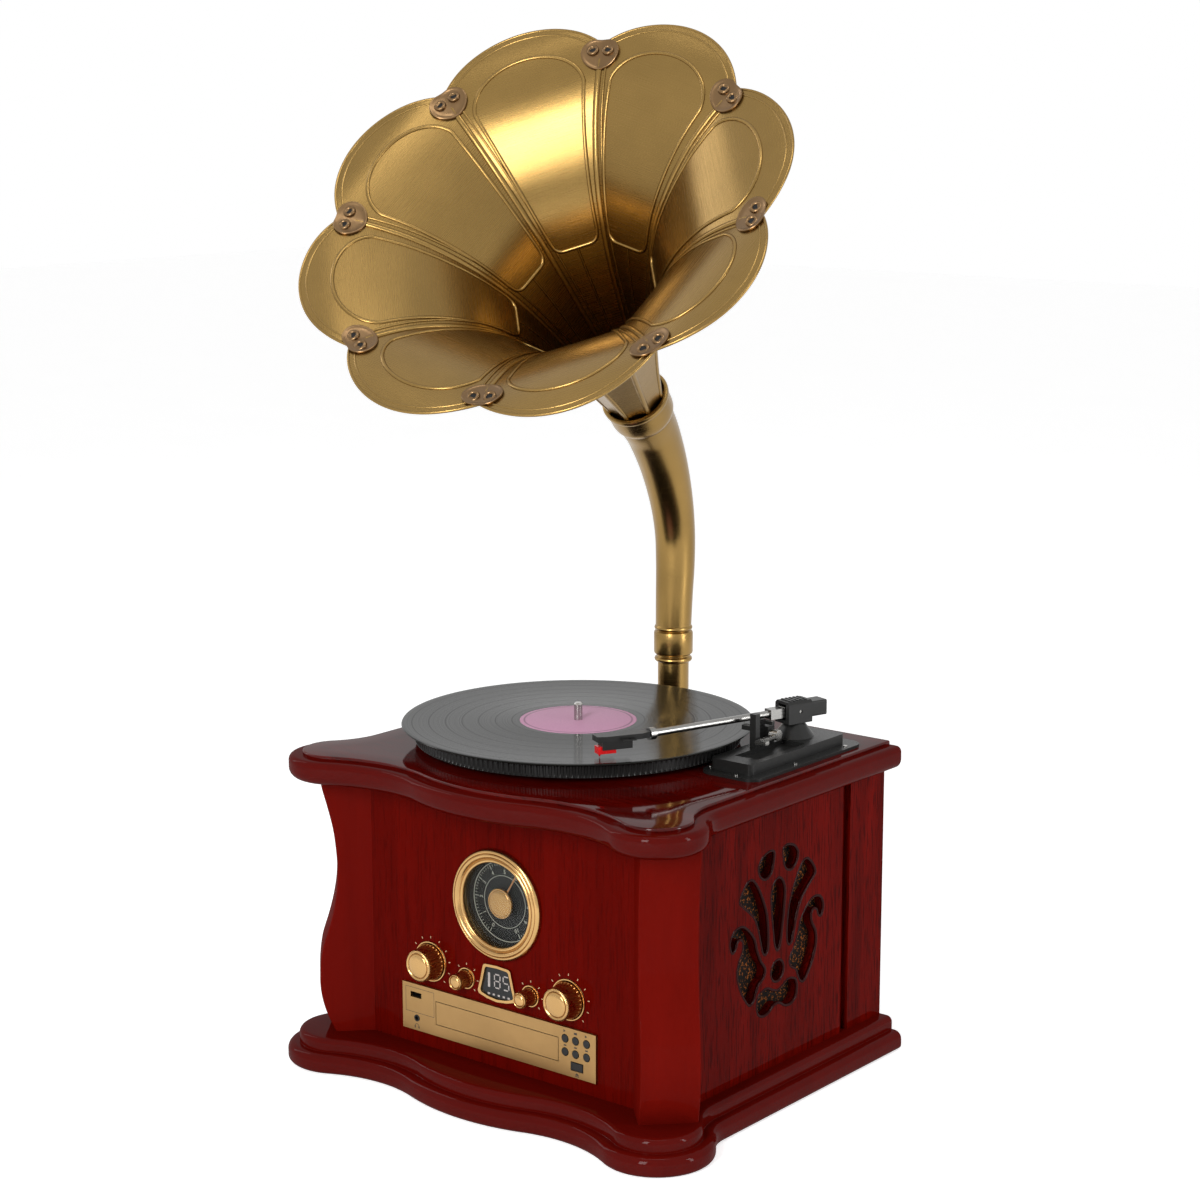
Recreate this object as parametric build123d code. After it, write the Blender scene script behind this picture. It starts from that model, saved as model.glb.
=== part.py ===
"""Record player with a brass petal horn. Millimetres, +Z up, the front faces -Y."""
from build123d import *
import math
import os

os.makedirs("parts", exist_ok=True)

# Cabinet
BODY_HALF_X = 175.4
BODY_HALF_Y = 152.8
PLINTH_TOP = 28.0
CABINET_TOP = 251.7
PANEL = 9.0
POST_WIDTH = 47.8
EAR_R = 47.0
SIDE_HOLLOW_R = 40.0
FRONT_DIP_R = 114.0
FRONT_BULGE_R = 194.0
BOARD_REAR = BODY_HALF_Y + 0.2
TOP_PANEL_Z = 275.0
PLINTH_RIM = 20.4
BOTTOM_REBATE = 10.4
STILE_T = 15.0
STILE_Y = BODY_HALF_Y - 51.8
GROOVE_Y = BODY_HALF_Y - 62.8
SIDE_FRONT_Y = 33.8 - BODY_HALF_Y

# Turntable
SPINDLE_X = -28.0
SPINDLE_Y = -14.5
PLATTER_R = 139.5
RECORD_R = 151.0
RECORD_TOP = 294.0
SPINDLE_R = 3.6
SHAFT_R = 5.0
RUNNING_GAP = 0.05

# Tonearm
ARM_X = 131.5
ARM_Y = 79.0
ARM_ANGLE = 17.3
ARM_Z = 309.0
ARM_LENGTH = 150.0
SHELL_OFFSET = 12.0
PLATFORM_TOP = 287.0

# Front controls
FRONT = -BODY_HALF_Y
DIAL_Z = 169.0
KNOB_X = 75.0
KNOB_Z = 104.2
SMALL_KNOB_X = 35.0
SMALL_KNOB_Z = 98.3
FASCIA_T = 3.0
TRAY_X0 = -67.8
TRAY_X1 = 66.7
TRAY_Z0 = 50.5
TRAY_Z1 = 71.4
BUTTON_XS = (73.6, 84.5, 96.0)
BUTTON_ZS = (71.9, 60.6)

# Horn
NECK_X = -69.0
NECK_Y = BODY_HALF_Y + 20.2
NECK_R = 14.25
HORN_C = (NECK_X + 61.1, NECK_Y - 252.3, 722.0)
HORN_TURN = 13.61
HORN_TILT = 43.0
SEAM_PHASE = 92.3
NOTCH_R = 186.0
TIP_R = 209.0
SHEET = 1.2
PETALS = 8

nodes = {}


def save(name, shape):
    """Write one named node as its own STEP file."""
    shape.label = name
    nodes[name] = shape
    export_step(shape, f"parts/{name}.step")


def box(x0, x1, y0, y1, z0, z1):
    return Pos((x0 + x1) / 2, (y0 + y1) / 2, (z0 + z1) / 2) * Box(x1 - x0, y1 - y0, z1 - z0)


def rod(p, direction, radius, length):
    """A cylinder from point p along direction."""
    return extrude(Plane(origin=p, z_dir=direction) * Circle(radius), length)


def tube(p, direction, r_out, r_in, length):
    return extrude(Plane(origin=p, z_dir=direction) * (Circle(r_out) - Circle(r_in)), length)


def turned(points, p, direction, x_dir):
    """Revolve (radius, height) points about the axis through p."""
    plane = Plane(origin=p, x_dir=x_dir, z_dir=Vector(*x_dir).cross(Vector(*direction)))
    face = make_face(Polyline(*points, close=True))
    return revolve(plane * face, Axis(p, direction), 360)


def arc_point(cx, cy, r, deg):
    a = math.radians(deg)
    return (cx + r * math.cos(a), cy + r * math.sin(a))


def serpentine(inset, rear):
    """The shaped outline of the boards, every arc tangent to the next."""
    hollow = (238.3, -105.7, SIDE_HOLLOW_R + inset)
    ear = (172.0, -162.0, EAR_R - inset)
    dip = (98.0, -305.0, FRONT_DIP_R + inset)
    bulge = (0.0, -13.0, FRONT_BULGE_R - inset)

    def join(a, b, ra, rb):
        d = math.hypot(b[0] - a[0], b[1] - a[1])
        t = ra / (ra + rb)
        return (a[0] + (b[0] - a[0]) * t, a[1] + (b[1] - a[1]) * t), d

    p0 = (198.3 - inset, rear)
    p1 = (198.3 - inset, -105.7)
    p2, _ = join(hollow, ear, hollow[2], ear[2])
    p3, _ = join(ear, dip, ear[2], dip[2])
    p4, _ = join(bulge, dip, bulge[2], dip[2])

    def mid(c, a, b, sign=1):
        va = Vector(a[0] - c[0], a[1] - c[1])
        vb = Vector(b[0] - c[0], b[1] - c[1])
        m = (va + vb).normalized() * c[2] * sign
        return (c[0] + m.X, c[1] + m.Y)

    right = [Line(p0, p1), ThreePointArc(p1, mid(hollow, p1, p2), p2),
             ThreePointArc(p2, arc_point(ear[0], ear[1], ear[2], -45), p3),
             ThreePointArc(p3, mid(dip, p3, p4), p4)]
    front = ThreePointArc(p4, (0, bulge[1] - bulge[2]), (-p4[0], p4[1]))
    left = [mirror(e, Plane.YZ) for e in right]
    back = Line((-p0[0], p0[1]), p0)
    return make_face([*right, front, *left, back])


def board(inset, z0, z1, low_r, high_r):
    """A shaped board with rounded front and side edges and a flat rear edge."""
    solid = extrude(Pos(0, 0, z0) * serpentine(inset, BOARD_REAR + 30), z1 - z0)
    if high_r:
        solid = fillet(solid.edges().group_by(Axis.Z)[-1], high_r)
    if low_r:
        solid = fillet(solid.edges().group_by(Axis.Z)[0], low_r)
    return solid - box(-260, 260, BOARD_REAR, 260, z0 - 1, z1 + 1)


# Cabinet boards
plinth = board(0.0, 0.0, 16.5, 4.5, 7.0) + board(10.0, 16.5, PLINTH_TOP, 0.0, 5.0)
inner_x = BODY_HALF_X - PLINTH_RIM
inner_y = BODY_HALF_Y - PLINTH_RIM
floor_x = BODY_HALF_X - BOTTOM_REBATE
floor_y = BODY_HALF_Y - BOTTOM_REBATE
plinth -= box(-inner_x, inner_x, -inner_y, inner_y, -1, PLINTH_TOP + 12)
plinth -= box(-floor_x, floor_x, -floor_y, floor_y, -1, PANEL)
save("base_plinth", plinth)
save("bottom_board", box(-floor_x, floor_x, -floor_y, floor_y, 0, PANEL))

lid = board(6.3, CABINET_TOP, 271.7, 9.0, 5.0) + board(18.3, 271.7, TOP_PANEL_Z, 0.0, 1.5)
lid -= rod((SPINDLE_X, SPINDLE_Y, 240), (0, 0, 1), 12.0, 50)
save("top_board", lid)

# Corner posts, an S-curved face on a slab set across each front corner
profile = [(251.7, 18.6), (242.9, 17.1), (225.2, 12.5), (207.5, 8.6), (189.9, 6.5), (172.2, 5.6), (154.5, 6.3),
           (136.8, 9.2), (119.2, 13.8), (101.5, 19.3), (83.7, 21.8), (70.2, 22.1), (56.6, 20.3), (42.9, 16.3),
           (28.0, 9.6)]


def corner_post(side):
    out = Vector(side, -1, 0).normalized()
    plane = Plane(origin=(side * BODY_HALF_X, -BODY_HALF_Y, 0), x_dir=out, z_dir=out.cross(Vector(0, 0, 1)))
    curve = Spline(*[(e, z) for z, e in profile])
    inner = -38.0
    a = (profile[0][1], profile[0][0])
    b = (profile[-1][1], profile[-1][0])
    face = make_face([curve, Line(b, (inner, b[1])), Line((inner, b[1]), (inner, a[1])), Line((inner, a[1]), a)])
    return extrude(plane * face, POST_WIDTH / 2, both=True)


save("corner_post_right", corner_post(1))
save("corner_post_left", corner_post(-1))

# Front panel with its cut-outs
PANEL_HALF_X = BODY_HALF_X - 33.8
panel = box(-PANEL_HALF_X, PANEL_HALF_X, FRONT, FRONT + PANEL, PLINTH_TOP, CABINET_TOP)
posts = nodes["corner_post_right"] + nodes["corner_post_left"]
panel -= posts
panel -= rod((0, FRONT - 1, DIAL_Z), (0, 1, 0), 41.0, 12)
for x, z in ((-KNOB_X, KNOB_Z), (KNOB_X, KNOB_Z), (-SMALL_KNOB_X, SMALL_KNOB_Z), (SMALL_KNOB_X, SMALL_KNOB_Z)):
    panel -= rod((x, FRONT - 1, z), (0, 1, 0), 5.0, 12)
panel -= box(-12, 12, FRONT - 1, FRONT + 12, 92, 110)
panel -= box(-98, 102, FRONT - 1, FRONT + 12, 44, 78)
save("front_panel", panel)

# Side panels, their pierced lily pattern mirrored about GRILLE_Y
GRILLE_Y = -4.0
TEAR = [(5.6, 210.9), (8.0, 214.6), (14.0, 215.2), (22.5, 212.3), (28.0, 206.5), (28.0, 201.0), (25.5, 196.5),
        (20.0, 192.8), (14.0, 193.3), (8.6, 198.0)]
PETAL = [(13.3, 132.9), (13.1, 146.0), (15.6, 162.6), (21.0, 175.9), (28.0, 187.9), (35.1, 195.7), (42.3, 196.6),
         (50.3, 189.7), (54.2, 182.2), (50.6, 177.9), (41.5, 170.8), (32.9, 162.5), (27.4, 150.9), (23.4, 137.2),
         (20.6, 129.8), (16.3, 128.2)]
SPEAR = [(0.0, 190.0), (6.5, 186.5), (10.2, 177.5), (9.2, 162.0), (6.8, 147.0), (4.3, 133.5), (0.0, 127.4),
         (-4.3, 133.5), (-6.8, 147.0), (-9.2, 162.0), (-10.2, 177.5), (-6.5, 186.5)]
HOOK = [(65.3, 143.6), (66.7, 150.7), (62.8, 158.0), (56.0, 160.8), (48.1, 159.9), (39.3, 153.6), (32.2, 144.9),
        (28.6, 134.6), (23.5, 124.7), (17.0, 116.0), (19.0, 108.8), (25.9, 104.8), (28.6, 100.4), (32.7, 92.9),
        (38.3, 90.2), (44.4, 95.4), (52.4, 107.0), (56.7, 120.1), (55.5, 130.0), (50.1, 138.7), (48.9, 145.9),
        (51.7, 150.1), (56.3, 148.8), (58.6, 143.6), (62.3, 141.1)]
BOW = [(0.0, 93.2), (6.0, 94.8), (14.0, 98.5), (21.5, 98.0), (27.5, 94.5), (29.2, 87.0), (27.0, 79.5), (20.0, 75.6),
       (11.5, 76.6), (5.5, 80.2), (0.0, 81.6), (-5.5, 80.2), (-11.5, 76.6), (-20.0, 75.6), (-27.0, 79.5),
       (-29.2, 87.0), (-27.5, 94.5), (-21.5, 98.0), (-14.0, 98.5), (-6.0, 94.8)]


def pierced(points, x0, depth):
    face = make_face(Spline(*[(y + GRILLE_Y, z) for y, z in points], periodic=True))
    return extrude(Plane(origin=(x0, 0, 0), x_dir=(0, 1, 0), z_dir=(1, 0, 0)) * face, depth)


def flip(points):
    return [(-y, z) for y, z in points]


def side_panel():
    inside = BODY_HALF_X - STILE_T
    solid = box(BODY_HALF_X - PANEL, BODY_HALF_X, SIDE_FRONT_Y, GROOVE_Y, PLINTH_TOP, CABINET_TOP)
    solid += box(inside, BODY_HALF_X - 6, GROOVE_Y, STILE_Y, PLINTH_TOP, CABINET_TOP)
    solid += box(inside, BODY_HALF_X - PANEL, GROOVE_Y - 8, GROOVE_Y, PLINTH_TOP, CABINET_TOP)
    for shape in (TEAR, PETAL, HOOK):
        solid -= pierced(shape, BODY_HALF_X - 12, 16)
        solid -= pierced(flip(shape), BODY_HALF_X - 12, 16)
    for shape in (SPEAR, BOW):
        solid -= pierced(shape, BODY_HALF_X - 12, 16)
    solid -= rod((BODY_HALF_X - 12, GRILLE_Y, 110), (1, 0, 0), 9.4, 16)
    return solid - posts


right_side = side_panel()
save("side_panel_right", right_side)
save("side_panel_left", mirror(right_side, Plane.YZ))

CLOTH = 1.5
cloth = box(BODY_HALF_X - PANEL - CLOTH, BODY_HALF_X - PANEL, -82, 74, 60, 226)
save("grille_cloths", Compound([cloth, mirror(cloth, Plane.YZ)]))


def speaker():
    """A moving-coil driver as one turned form: flange, dished cone, dust cap, basket and magnet."""
    face_x = BODY_HALF_X - PANEL - CLOTH
    points = [(0, 19), (8, 20), (14, 22.5), (48, 4), (50, 0), (62, 0), (62, 3), (58, 6), (34, 36), (34, 52), (0, 52)]
    return turned(points, (face_x, GRILLE_Y, 146), (-1, 0, 0), (0, 0, 1))


driver = speaker()
save("speakers", Compound([driver, mirror(driver, Plane.YZ)]))

stile = box(BODY_HALF_X - STILE_T, BODY_HALF_X, STILE_Y, BODY_HALF_Y, PLINTH_TOP, CABINET_TOP)
rear_half = BODY_HALF_X - STILE_T
rear = box(-rear_half, rear_half, BODY_HALF_Y - PANEL, BODY_HALF_Y, PLINTH_TOP, CABINET_TOP)
save("rear_panel", rear + stile + mirror(stile, Plane.YZ))

# Dial
AXIS_D = (0, -1, 0)
bezel = [(35.5, 2.0), (36.3, 3.6), (37.8, 4.2), (39.0, 3.4), (40.0, 4.6), (41.8, 5.6), (43.4, 4.6), (44.2, 4.6),
         (46.0, 3.6), (47.5, 0.0), (40.8, 0.0), (40.8, -9.0), (38.6, -9.0), (38.6, 1.0), (35.5, 1.0)]
save("dial_bezel", turned(bezel, (0, FRONT, DIAL_Z), AXIS_D, (1, 0, 0)))
scale_disc = rod((0, FRONT + PANEL, DIAL_Z), (0, 1, 0), 44.0, 2.0)
save("dial_face", scale_disc - rod((0, FRONT + 8, DIAL_Z), (0, 1, 0), 2.0 + RUNNING_GAP, 5))
save("dial_lens", rod((0, FRONT - 1.0, DIAL_Z), (0, 1, 0), 38.5, 1.5))
hub = turned([(0, 0), (2, 0), (2, 10), (12.6, 10.5), (13.0, 12.5), (12.0, 13.8), (8.0, 14.4), (0, 14.8)],
             (0, FRONT + 15.6, DIAL_Z), AXIS_D, (1, 0, 0))
pointer = Pos(0, FRONT + 4.6, DIAL_Z) * Rot(0, 31.5, 0) * box(-0.7, 0.7, -0.5, 0.5, 10.0, 34.0)
save("dial_needle", hub + pointer)

# Knobs: each turns on its own shaft in a bush; a flat ring on the panel surrounds its skirt
bushes = []
rings = []


def knob(name, x, z, skirt_r, face_r, length, ring_r):
    stem_r = 3.0
    pts = [(0, 1.6), (skirt_r, 1.6), (skirt_r, 3.4), (face_r + 0.6, length - 3.0), (face_r, length - 1.4),
           (face_r - 1.6, length - 0.4), (face_r - 2.4, length - 1.0), (0, length)]
    knob_body = turned(pts, (x, FRONT, z), AXIS_D, (1, 0, 0))
    knob_body += rod((x, FRONT - 2.0, z), (0, 1, 0), stem_r, 21.0)
    save(name, knob_body)
    rings.append(tube((x, FRONT, z), AXIS_D, ring_r, 5.0, 1.2))
    bushes.append(tube((x, FRONT + PANEL, z), (0, 1, 0), 9.0, stem_r + RUNNING_GAP, 12.0))


knob("volume_knob", -KNOB_X, KNOB_Z, 15.2, 13.3, 18.0, 17.2)
knob("tuning_knob", KNOB_X, KNOB_Z, 15.2, 13.3, 18.0, 17.2)
knob("tone_knob", -SMALL_KNOB_X, SMALL_KNOB_Z, 7.4, 6.5, 16.2, 9.0)
knob("function_knob", SMALL_KNOB_X, SMALL_KNOB_Z, 7.4, 6.5, 16.2, 9.0)
save("knob_rings", Compound(rings))

# Display window: rounded trapezoid frame and dark pane
DISPLAY = [(-14.5, 116.0), (0, 116.9), (14.5, 116.0), (18.2, 101.0), (21.4, 90.0), (11, 86.9), (0, 85.6),
           (-11, 86.9), (-21.4, 90.0), (-18.2, 101.0)]
plane_front = Plane(origin=(0, FRONT, 0), x_dir=(1, 0, 0), z_dir=(0, -1, 0))
DISPLAY_MID = 101.3


def display_outline(share):
    points = [(x * share, DISPLAY_MID + (z - DISPLAY_MID) * share) for x, z in DISPLAY]
    corners = (14.5 * share, 21.4 * share)
    face = make_face(Polyline(*points, close=True))
    sharp = [v for v in face.vertices() if min(abs(abs(v.X) - c) for c in corners) < 0.01]
    return fillet(sharp, 3.2 * share)


outer_edge = display_outline(1.0)
inner_edge = display_outline(0.86)
save("display_frame", extrude(plane_front * (outer_edge - inner_edge), 2.4))
save("display_window", extrude(plane_front * inner_edge, 0.8))

# Disc unit
fascia = box(-105.5, 105.5, FRONT - FASCIA_T, FRONT, 40.6, 81.4)
fascia -= box(TRAY_X0, TRAY_X1, FRONT - 9, FRONT + 5, TRAY_Z0, TRAY_Z1)
fascia -= box(-96.4, -84.0, FRONT - 9, FRONT + 5, 69.4, 74.2)
fascia -= rod((-89.4, FRONT + 1, 51.5), (0, -1, 0), 3.0, 9)
for bx in BUTTON_XS:
    for bz in BUTTON_ZS:
        fascia -= rod((bx, FRONT + 1, bz), (0, -1, 0), 3.7, 9)
fascia -= box(79.4, 92.6, FRONT - 9, FRONT + 5, 46.2, 54.0)
save("cd_fascia", fascia)

count = 0
for bz in BUTTON_ZS:
    for bx in BUTTON_XS:
        count += 1
        button = rod((bx, FRONT + 7.0, bz), (0, -1, 0), 3.3, 10.6)
        save(f"button_{count}", fillet(button.edges().sort_by(Axis.Y)[0], 0.5))
save("button_eject", fillet(box(79.9, 92.1, FRONT - 3.6, FRONT + 7.0, 46.7, 53.5).edges().group_by(Axis.Y)[0], 0.5))
save("control_board", Compound([*bushes, box(69, 101, FRONT + PANEL, FRONT + PANEL + 1.6, 40, 82)]))

usb = box(-98.0, -82.4, FRONT, FRONT + 15, 67.8, 75.8) - box(-96.4, -84.0, FRONT - 1, FRONT + 12, 69.4, 74.2)
usb += box(-95.0, -85.4, FRONT + 5.0, FRONT + 13, 71.6, 73.2)
save("usb_port", usb)
save("headphone_jack", rod((-89.4, FRONT + 17, 51.5), (0, -1, 0), 5.5, 17.0)
     + rod((-89.4, FRONT, 51.5), (0, -1, 0), 2.9, 3.4) - rod((-89.4, FRONT + 14, 51.5), (0, -1, 0), 1.8, 20))

tray = box(TRAY_X0 + 0.6, TRAY_X1 - 0.6, FRONT - 3.0, FRONT + 1.0, TRAY_Z0 + 0.6, TRAY_Z1 - 0.6)
tray += box(-65.7, 64.7, FRONT + 1.0, FRONT + 140.0, 52.5, 58.5)
tray -= rod((-0.5, FRONT + 66.0, 56.5), (0, 0, 1), 60.5, 5)
tray -= rod((-0.5, FRONT + 66.0, 50.0), (0, 0, 1), 20.0, 10)
save("cd_tray", tray)
drive = box(-69.5, 68.5, FRONT + PANEL, FRONT + 152.0, 47.5, 75.5)
drive -= box(-66.0, 65.0, FRONT - 5, FRONT + 150.0, 49.8, 72.4)
for foot_y in (26, 140):
    drive += box(-69.5, 68.5, FRONT + foot_y, FRONT + foot_y + 6, PANEL, 47.5)
save("cd_drive", drive)
save("power_transformer", box(90, 140, 60, 110, 9, 55) + box(98, 132, 52, 118, 16, 48))

# Rear connections
plate = box(60, 140, BODY_HALF_Y, BODY_HALF_Y + 2, 60, 110)
for k in range(4):
    plate += rod((72 + 14 * k, BODY_HALF_Y + 1, 96), (0, 1, 0), 4.2, 8)
plate += box(84, 110, BODY_HALF_Y, BODY_HALF_Y + 5, 66, 82) - box(88, 106, BODY_HALF_Y + 1, BODY_HALF_Y + 9, 69, 79)
save("rear_connections", plate)

# Turntable
S = (SPINDLE_X, SPINDLE_Y, 0)
motor = turned([(SHAFT_R + RUNNING_GAP, 214), (30, 214), (32, 216), (32, CABINET_TOP), (12, CABINET_TOP), (12, 279),
                (SHAFT_R + RUNNING_GAP, 279)], S, (0, 0, 1), (1, 0, 0))
save("platter_motor", motor)
MAT_T = 2.0
RECORD_T = 2.0
mat_top = RECORD_TOP - RECORD_T
deck_top = mat_top - MAT_T
spindle_points = [(0, 212), (SHAFT_R, 212), (SHAFT_R, deck_top), (SPINDLE_R, deck_top),
                  (SPINDLE_R, 307.5), (2.6, 309), (0, 309)]
save("spindle", turned(spindle_points, S, (0, 0, 1), (1, 0, 0)))
platter_points = [(SHAFT_R, 281), (14, 281), (14, 286), (PLATTER_R - 4, 286), (PLATTER_R - 3, 279),
                  (PLATTER_R, 279), (PLATTER_R, deck_top), (SHAFT_R, deck_top)]
save("platter", turned(platter_points, S, (0, 0, 1), (1, 0, 0)))
save("platter_mat", tube((SPINDLE_X, SPINDLE_Y, deck_top), (0, 0, 1), PLATTER_R - 1, 10.0, MAT_T))
hole_r = SPINDLE_R + RUNNING_GAP
record_points = [(hole_r, mat_top), (RECORD_R - 1.5, mat_top), (RECORD_R, mat_top + RECORD_T / 2),
                 (RECORD_R - 1.5, RECORD_TOP), (hole_r, RECORD_TOP)]
save("vinyl_record", turned(record_points, S, (0, 0, 1), (1, 0, 0)))

# Tonearm base with its pedestal, cue tower and rest
base = box(114, 172, -34, 126, TOP_PANEL_Z, 277.5)
base = fillet(base.edges().filter_by(Axis.Z), 12.0)
block = fillet(box(120, 162, -25, 111, 277.5, PLATFORM_TOP).edges().filter_by(Axis.Z), 5.0)
block -= box(133, 156, -8, 60, PLATFORM_TOP - 3.5, PLATFORM_TOP + 1)
base += block
pedestal = [(0, 277.5), (17.5, 277.5), (17.5, PLATFORM_TOP), (9.0, 298.4), (0, 298.4)]
base += turned(pedestal, (ARM_X, ARM_Y, 0), (0, 0, 1), (1, 0, 0))
base -= rod((ARM_X, ARM_Y, 285), (0, 0, 1), 4.0 + RUNNING_GAP, 20)
arm_dir = Vector(-math.sin(math.radians(ARM_ANGLE)), -math.cos(math.radians(ARM_ANGLE)), 0)
LIFT_AT = 34.0
lx = ARM_X + arm_dir.X * LIFT_AT
ly = ARM_Y + arm_dir.Y * LIFT_AT
base += box(lx - 4.5, lx + 9.5, ly - 4.5, ly + 4.5, PLATFORM_TOP - 6, 301.0)
base -= rod((lx, ly, 283), (0, 0, 1), 2.5 + RUNNING_GAP, 20)
LEVER_Z = 294.0
base -= rod((lx + 4.4, ly, LEVER_Z), (1, 0, 0), 2.0 + RUNNING_GAP, 10)
save("tonearm_base", base)

rest = box(127.8, 133.8, 20, 26, PLATFORM_TOP, 316.0) + box(119.5, 127.8, 20, 26, 301.5, 305.4)
save("arm_rest", rest)
screws = [rod((x, y, 277.5), (0, 0, 1), 1.9, 0.9) for x, y in ((117.2, -20), (150, -29.5), (167, 30), (167, 104))]

arc_bar = tube((ARM_X, ARM_Y, 302.6), (0, 0, 1), LIFT_AT + 2, LIFT_AT - 2, 3.0)
sector = make_face(Polyline((0, 0), *[arc_point(0, 0, 80, -90 - a) for a in (-4, 10, 25, 42)], close=True))
arc_bar = arc_bar & (Pos(ARM_X, ARM_Y, 300) * extrude(sector, 10))
save("cue_lift", arc_bar + rod((lx, ly, 290), (0, 0, 1), 2.5, 13.5))
lever = rod((lx + 4.8, ly, LEVER_Z), (1, 0, 0), 2.0, 6.0) + rod((lx + 9.9, ly, LEVER_Z), (1, 0, 0), 4.6, 7.5)
lever += box(lx + 14.0, lx + 17.4, ly - 26, ly, LEVER_Z - 1.8, LEVER_Z + 1.2)
lever += box(lx + 14.0, lx + 25.0, ly - 30, ly - 25, LEVER_Z - 1.8, LEVER_Z + 1.2)
save("cue_lever", lever)


def arm_at(shape):
    """Place a shape drawn along -Y from the pivot into the row frame."""
    return Pos(ARM_X, ARM_Y, 0) * Rot(0, 0, -ARM_ANGLE) * shape


turret = box(-9.5, 9.5, -13, 12, 299.0, 318.0)
turret -= box(-5.2, 5.2, -20, 20, 302.0, 315.6)
turret = chamfer(turret.edges().filter_by(Axis.Y).group_by(Axis.Z)[-1], 2.2)
turret -= rod((-12, 0, ARM_Z), (1, 0, 0), 1.5 + RUNNING_GAP, 24)
turret += rod((0, 0, 286.5), (0, 0, 1), 4.0, 13.0)
for k in range(5):
    turret += box(-6.5, 6.5, -9.4 + 4 * k, -7.4 + 4 * k, 318.0, 318.8)
save("arm_turret", arm_at(turret))

arm = box(-4.6, 4.6, -28, 8, 304.6, 313.4)
arm -= box(-9, 9, -40, -13.5, 313.0, 316)
arm += rod((-8.6, 0, ARM_Z), (1, 0, 0), 1.5, 17.2)
arm += rod((0, -27, ARM_Z), (0, -1, 0), 3.0, ARM_LENGTH - 31)
arm += rod((0, -ARM_LENGTH + 5.5, ARM_Z), (0, -1, 0), 5.0, 5.5)
save("arm_tube", arm_at(arm))
weight = fillet(box(-7.5, 7.5, 13.2, 29, 302.4, 315.6).edges().filter_by(Axis.Y), 1.5)
weight += box(-4.6, 4.6, 8, 13.2, 304.6, 313.4)
save("counterweight", arm_at(weight))


def shell_at(shape):
    return arm_at(Pos(0, -ARM_LENGTH, 0) * Rot(0, 0, -SHELL_OFFSET) * shape)


outline = make_face(Polyline((-4.0, 0.0), (4.0, 0.0), (7.5, -8.0), (7.5, -40.0), (5.5, -47.0),
                             (-5.5, -47.0), (-7.5, -40.0), (-7.5, -8.0), close=True))
shell = Pos(0, 0, 307.4) * extrude(outline, 4.6)
shell -= box(-5.9, 5.9, -45.4, -6.0, 306.0, 310.6)
shell += box(7.5, 12.0, -19, -15, 308.0, 309.2) + box(10.6, 12.0, -27, -15, 308.0, 309.2)
save("headshell", shell_at(shell) - arm_at(box(-20, 20, -ARM_LENGTH, -ARM_LENGTH + 30, 300, 320)))
save("cartridge", shell_at(box(-5.2, 5.2, -42, -16, 300.2, 310.6)))
needle = box(-4.2, 4.2, -45.5, -30, 297.0, 300.2) + box(-4.2, 4.2, -45.5, -42, 300.2, 303.0)
tip = make_face(Polyline((0.0, -1.6), (1.2, 0.0), (0.0, 1.6), (-1.2, 0.0), close=True))
needle += loft([Pos(0, -42.6, 297.0) * tip, Pos(0, -43.0, 294.35) * scale(tip, 0.25)])
save("stylus", shell_at(needle))

# Horn bracket on the rear panel, open at the top
bracket = box(NECK_X - 34, NECK_X + 34, BODY_HALF_Y, BODY_HALF_Y + 4, 150, 240)
bracket = fillet(bracket.edges().filter_by(Axis.Y), 6.0)
bracket += rod((NECK_X, NECK_Y, 158), (0, 0, 1), 18.5, 74)
bracket += box(NECK_X - 12, NECK_X + 12, BODY_HALF_Y, NECK_Y, 162, 228)
bracket -= rod((NECK_X, NECK_Y, 162), (0, 0, 1), NECK_R + RUNNING_GAP, 90)
bracket = bracket - box(-200, 200, 100, BODY_HALF_Y, 100, 260)
save("horn_bracket", bracket)
screw_list = []
for sx in (-26, 26):
    for sz in (160, 230):
        screw_list.append(rod((NECK_X + sx, BODY_HALF_Y + 4, sz), (0, 1, 0), 3.6, 1.6))
save("cabinet_screws", Compound([*screws, *screw_list]))

# Horn stem and coupling
stem = turned([(12.4, 162.0), (NECK_R, 162.0), (NECK_R, 307.0), (16.4, 307.5), (17.4, 309.5), (16.4, 311.5), (15.2, 312.5),
               (15.2, 313.5), (17.2, 314.5), (17.9, 316.0), (17.9, 334.0), (17.2, 335.5), (15.8, 336.2), (17.4, 338.5),
               (16.4, 341.0), (12.4, 341.0)], (NECK_X, NECK_Y, 0), (0, 0, 1), (1, 0, 0))
save("horn_stem", stem)

# The horn's own frame: +Z out of the mouth, +X along the first seam
tilt = math.radians(HORN_TILT)
turn = math.radians(HORN_TURN)
mouth = Vector(math.sin(turn) * math.cos(tilt), -math.cos(turn) * math.cos(tilt), math.sin(tilt))
level = Vector(math.cos(turn), math.sin(turn), 0)
raised = mouth.cross(level)
phase = math.radians(SEAM_PHASE)
seam_dir = level * math.cos(phase) + raised * math.sin(phase)
horn_plane = Plane(origin=HORN_C, x_dir=seam_dir, z_dir=mouth)

# Elbow: a widening tube that leans back, then bends over onto the horn's axis
forward = Vector(math.sin(turn), -math.cos(turn), 0)
neck = Vector(NECK_X, NECK_Y, 0)


def on_axis(s):
    return Vector(*HORN_C) + mouth * s


def in_plane(u, z):
    return neck + forward * u + Vector(0, 0, z)


centres = [in_plane(0, 341), in_plane(-1.5, 368), in_plane(-3.6, 398), in_plane(-2.2, 428), in_plane(7, 460),
           in_plane(24.5, 494), on_axis(-291), on_axis(-266)]
radii = [16.4, 17.0, 17.8, 18.4, 19.7, 21.6, 23.6, 25.2]
path = Spline(*centres, tangents=[(0, 0, 1), tuple(mouth)])


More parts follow.
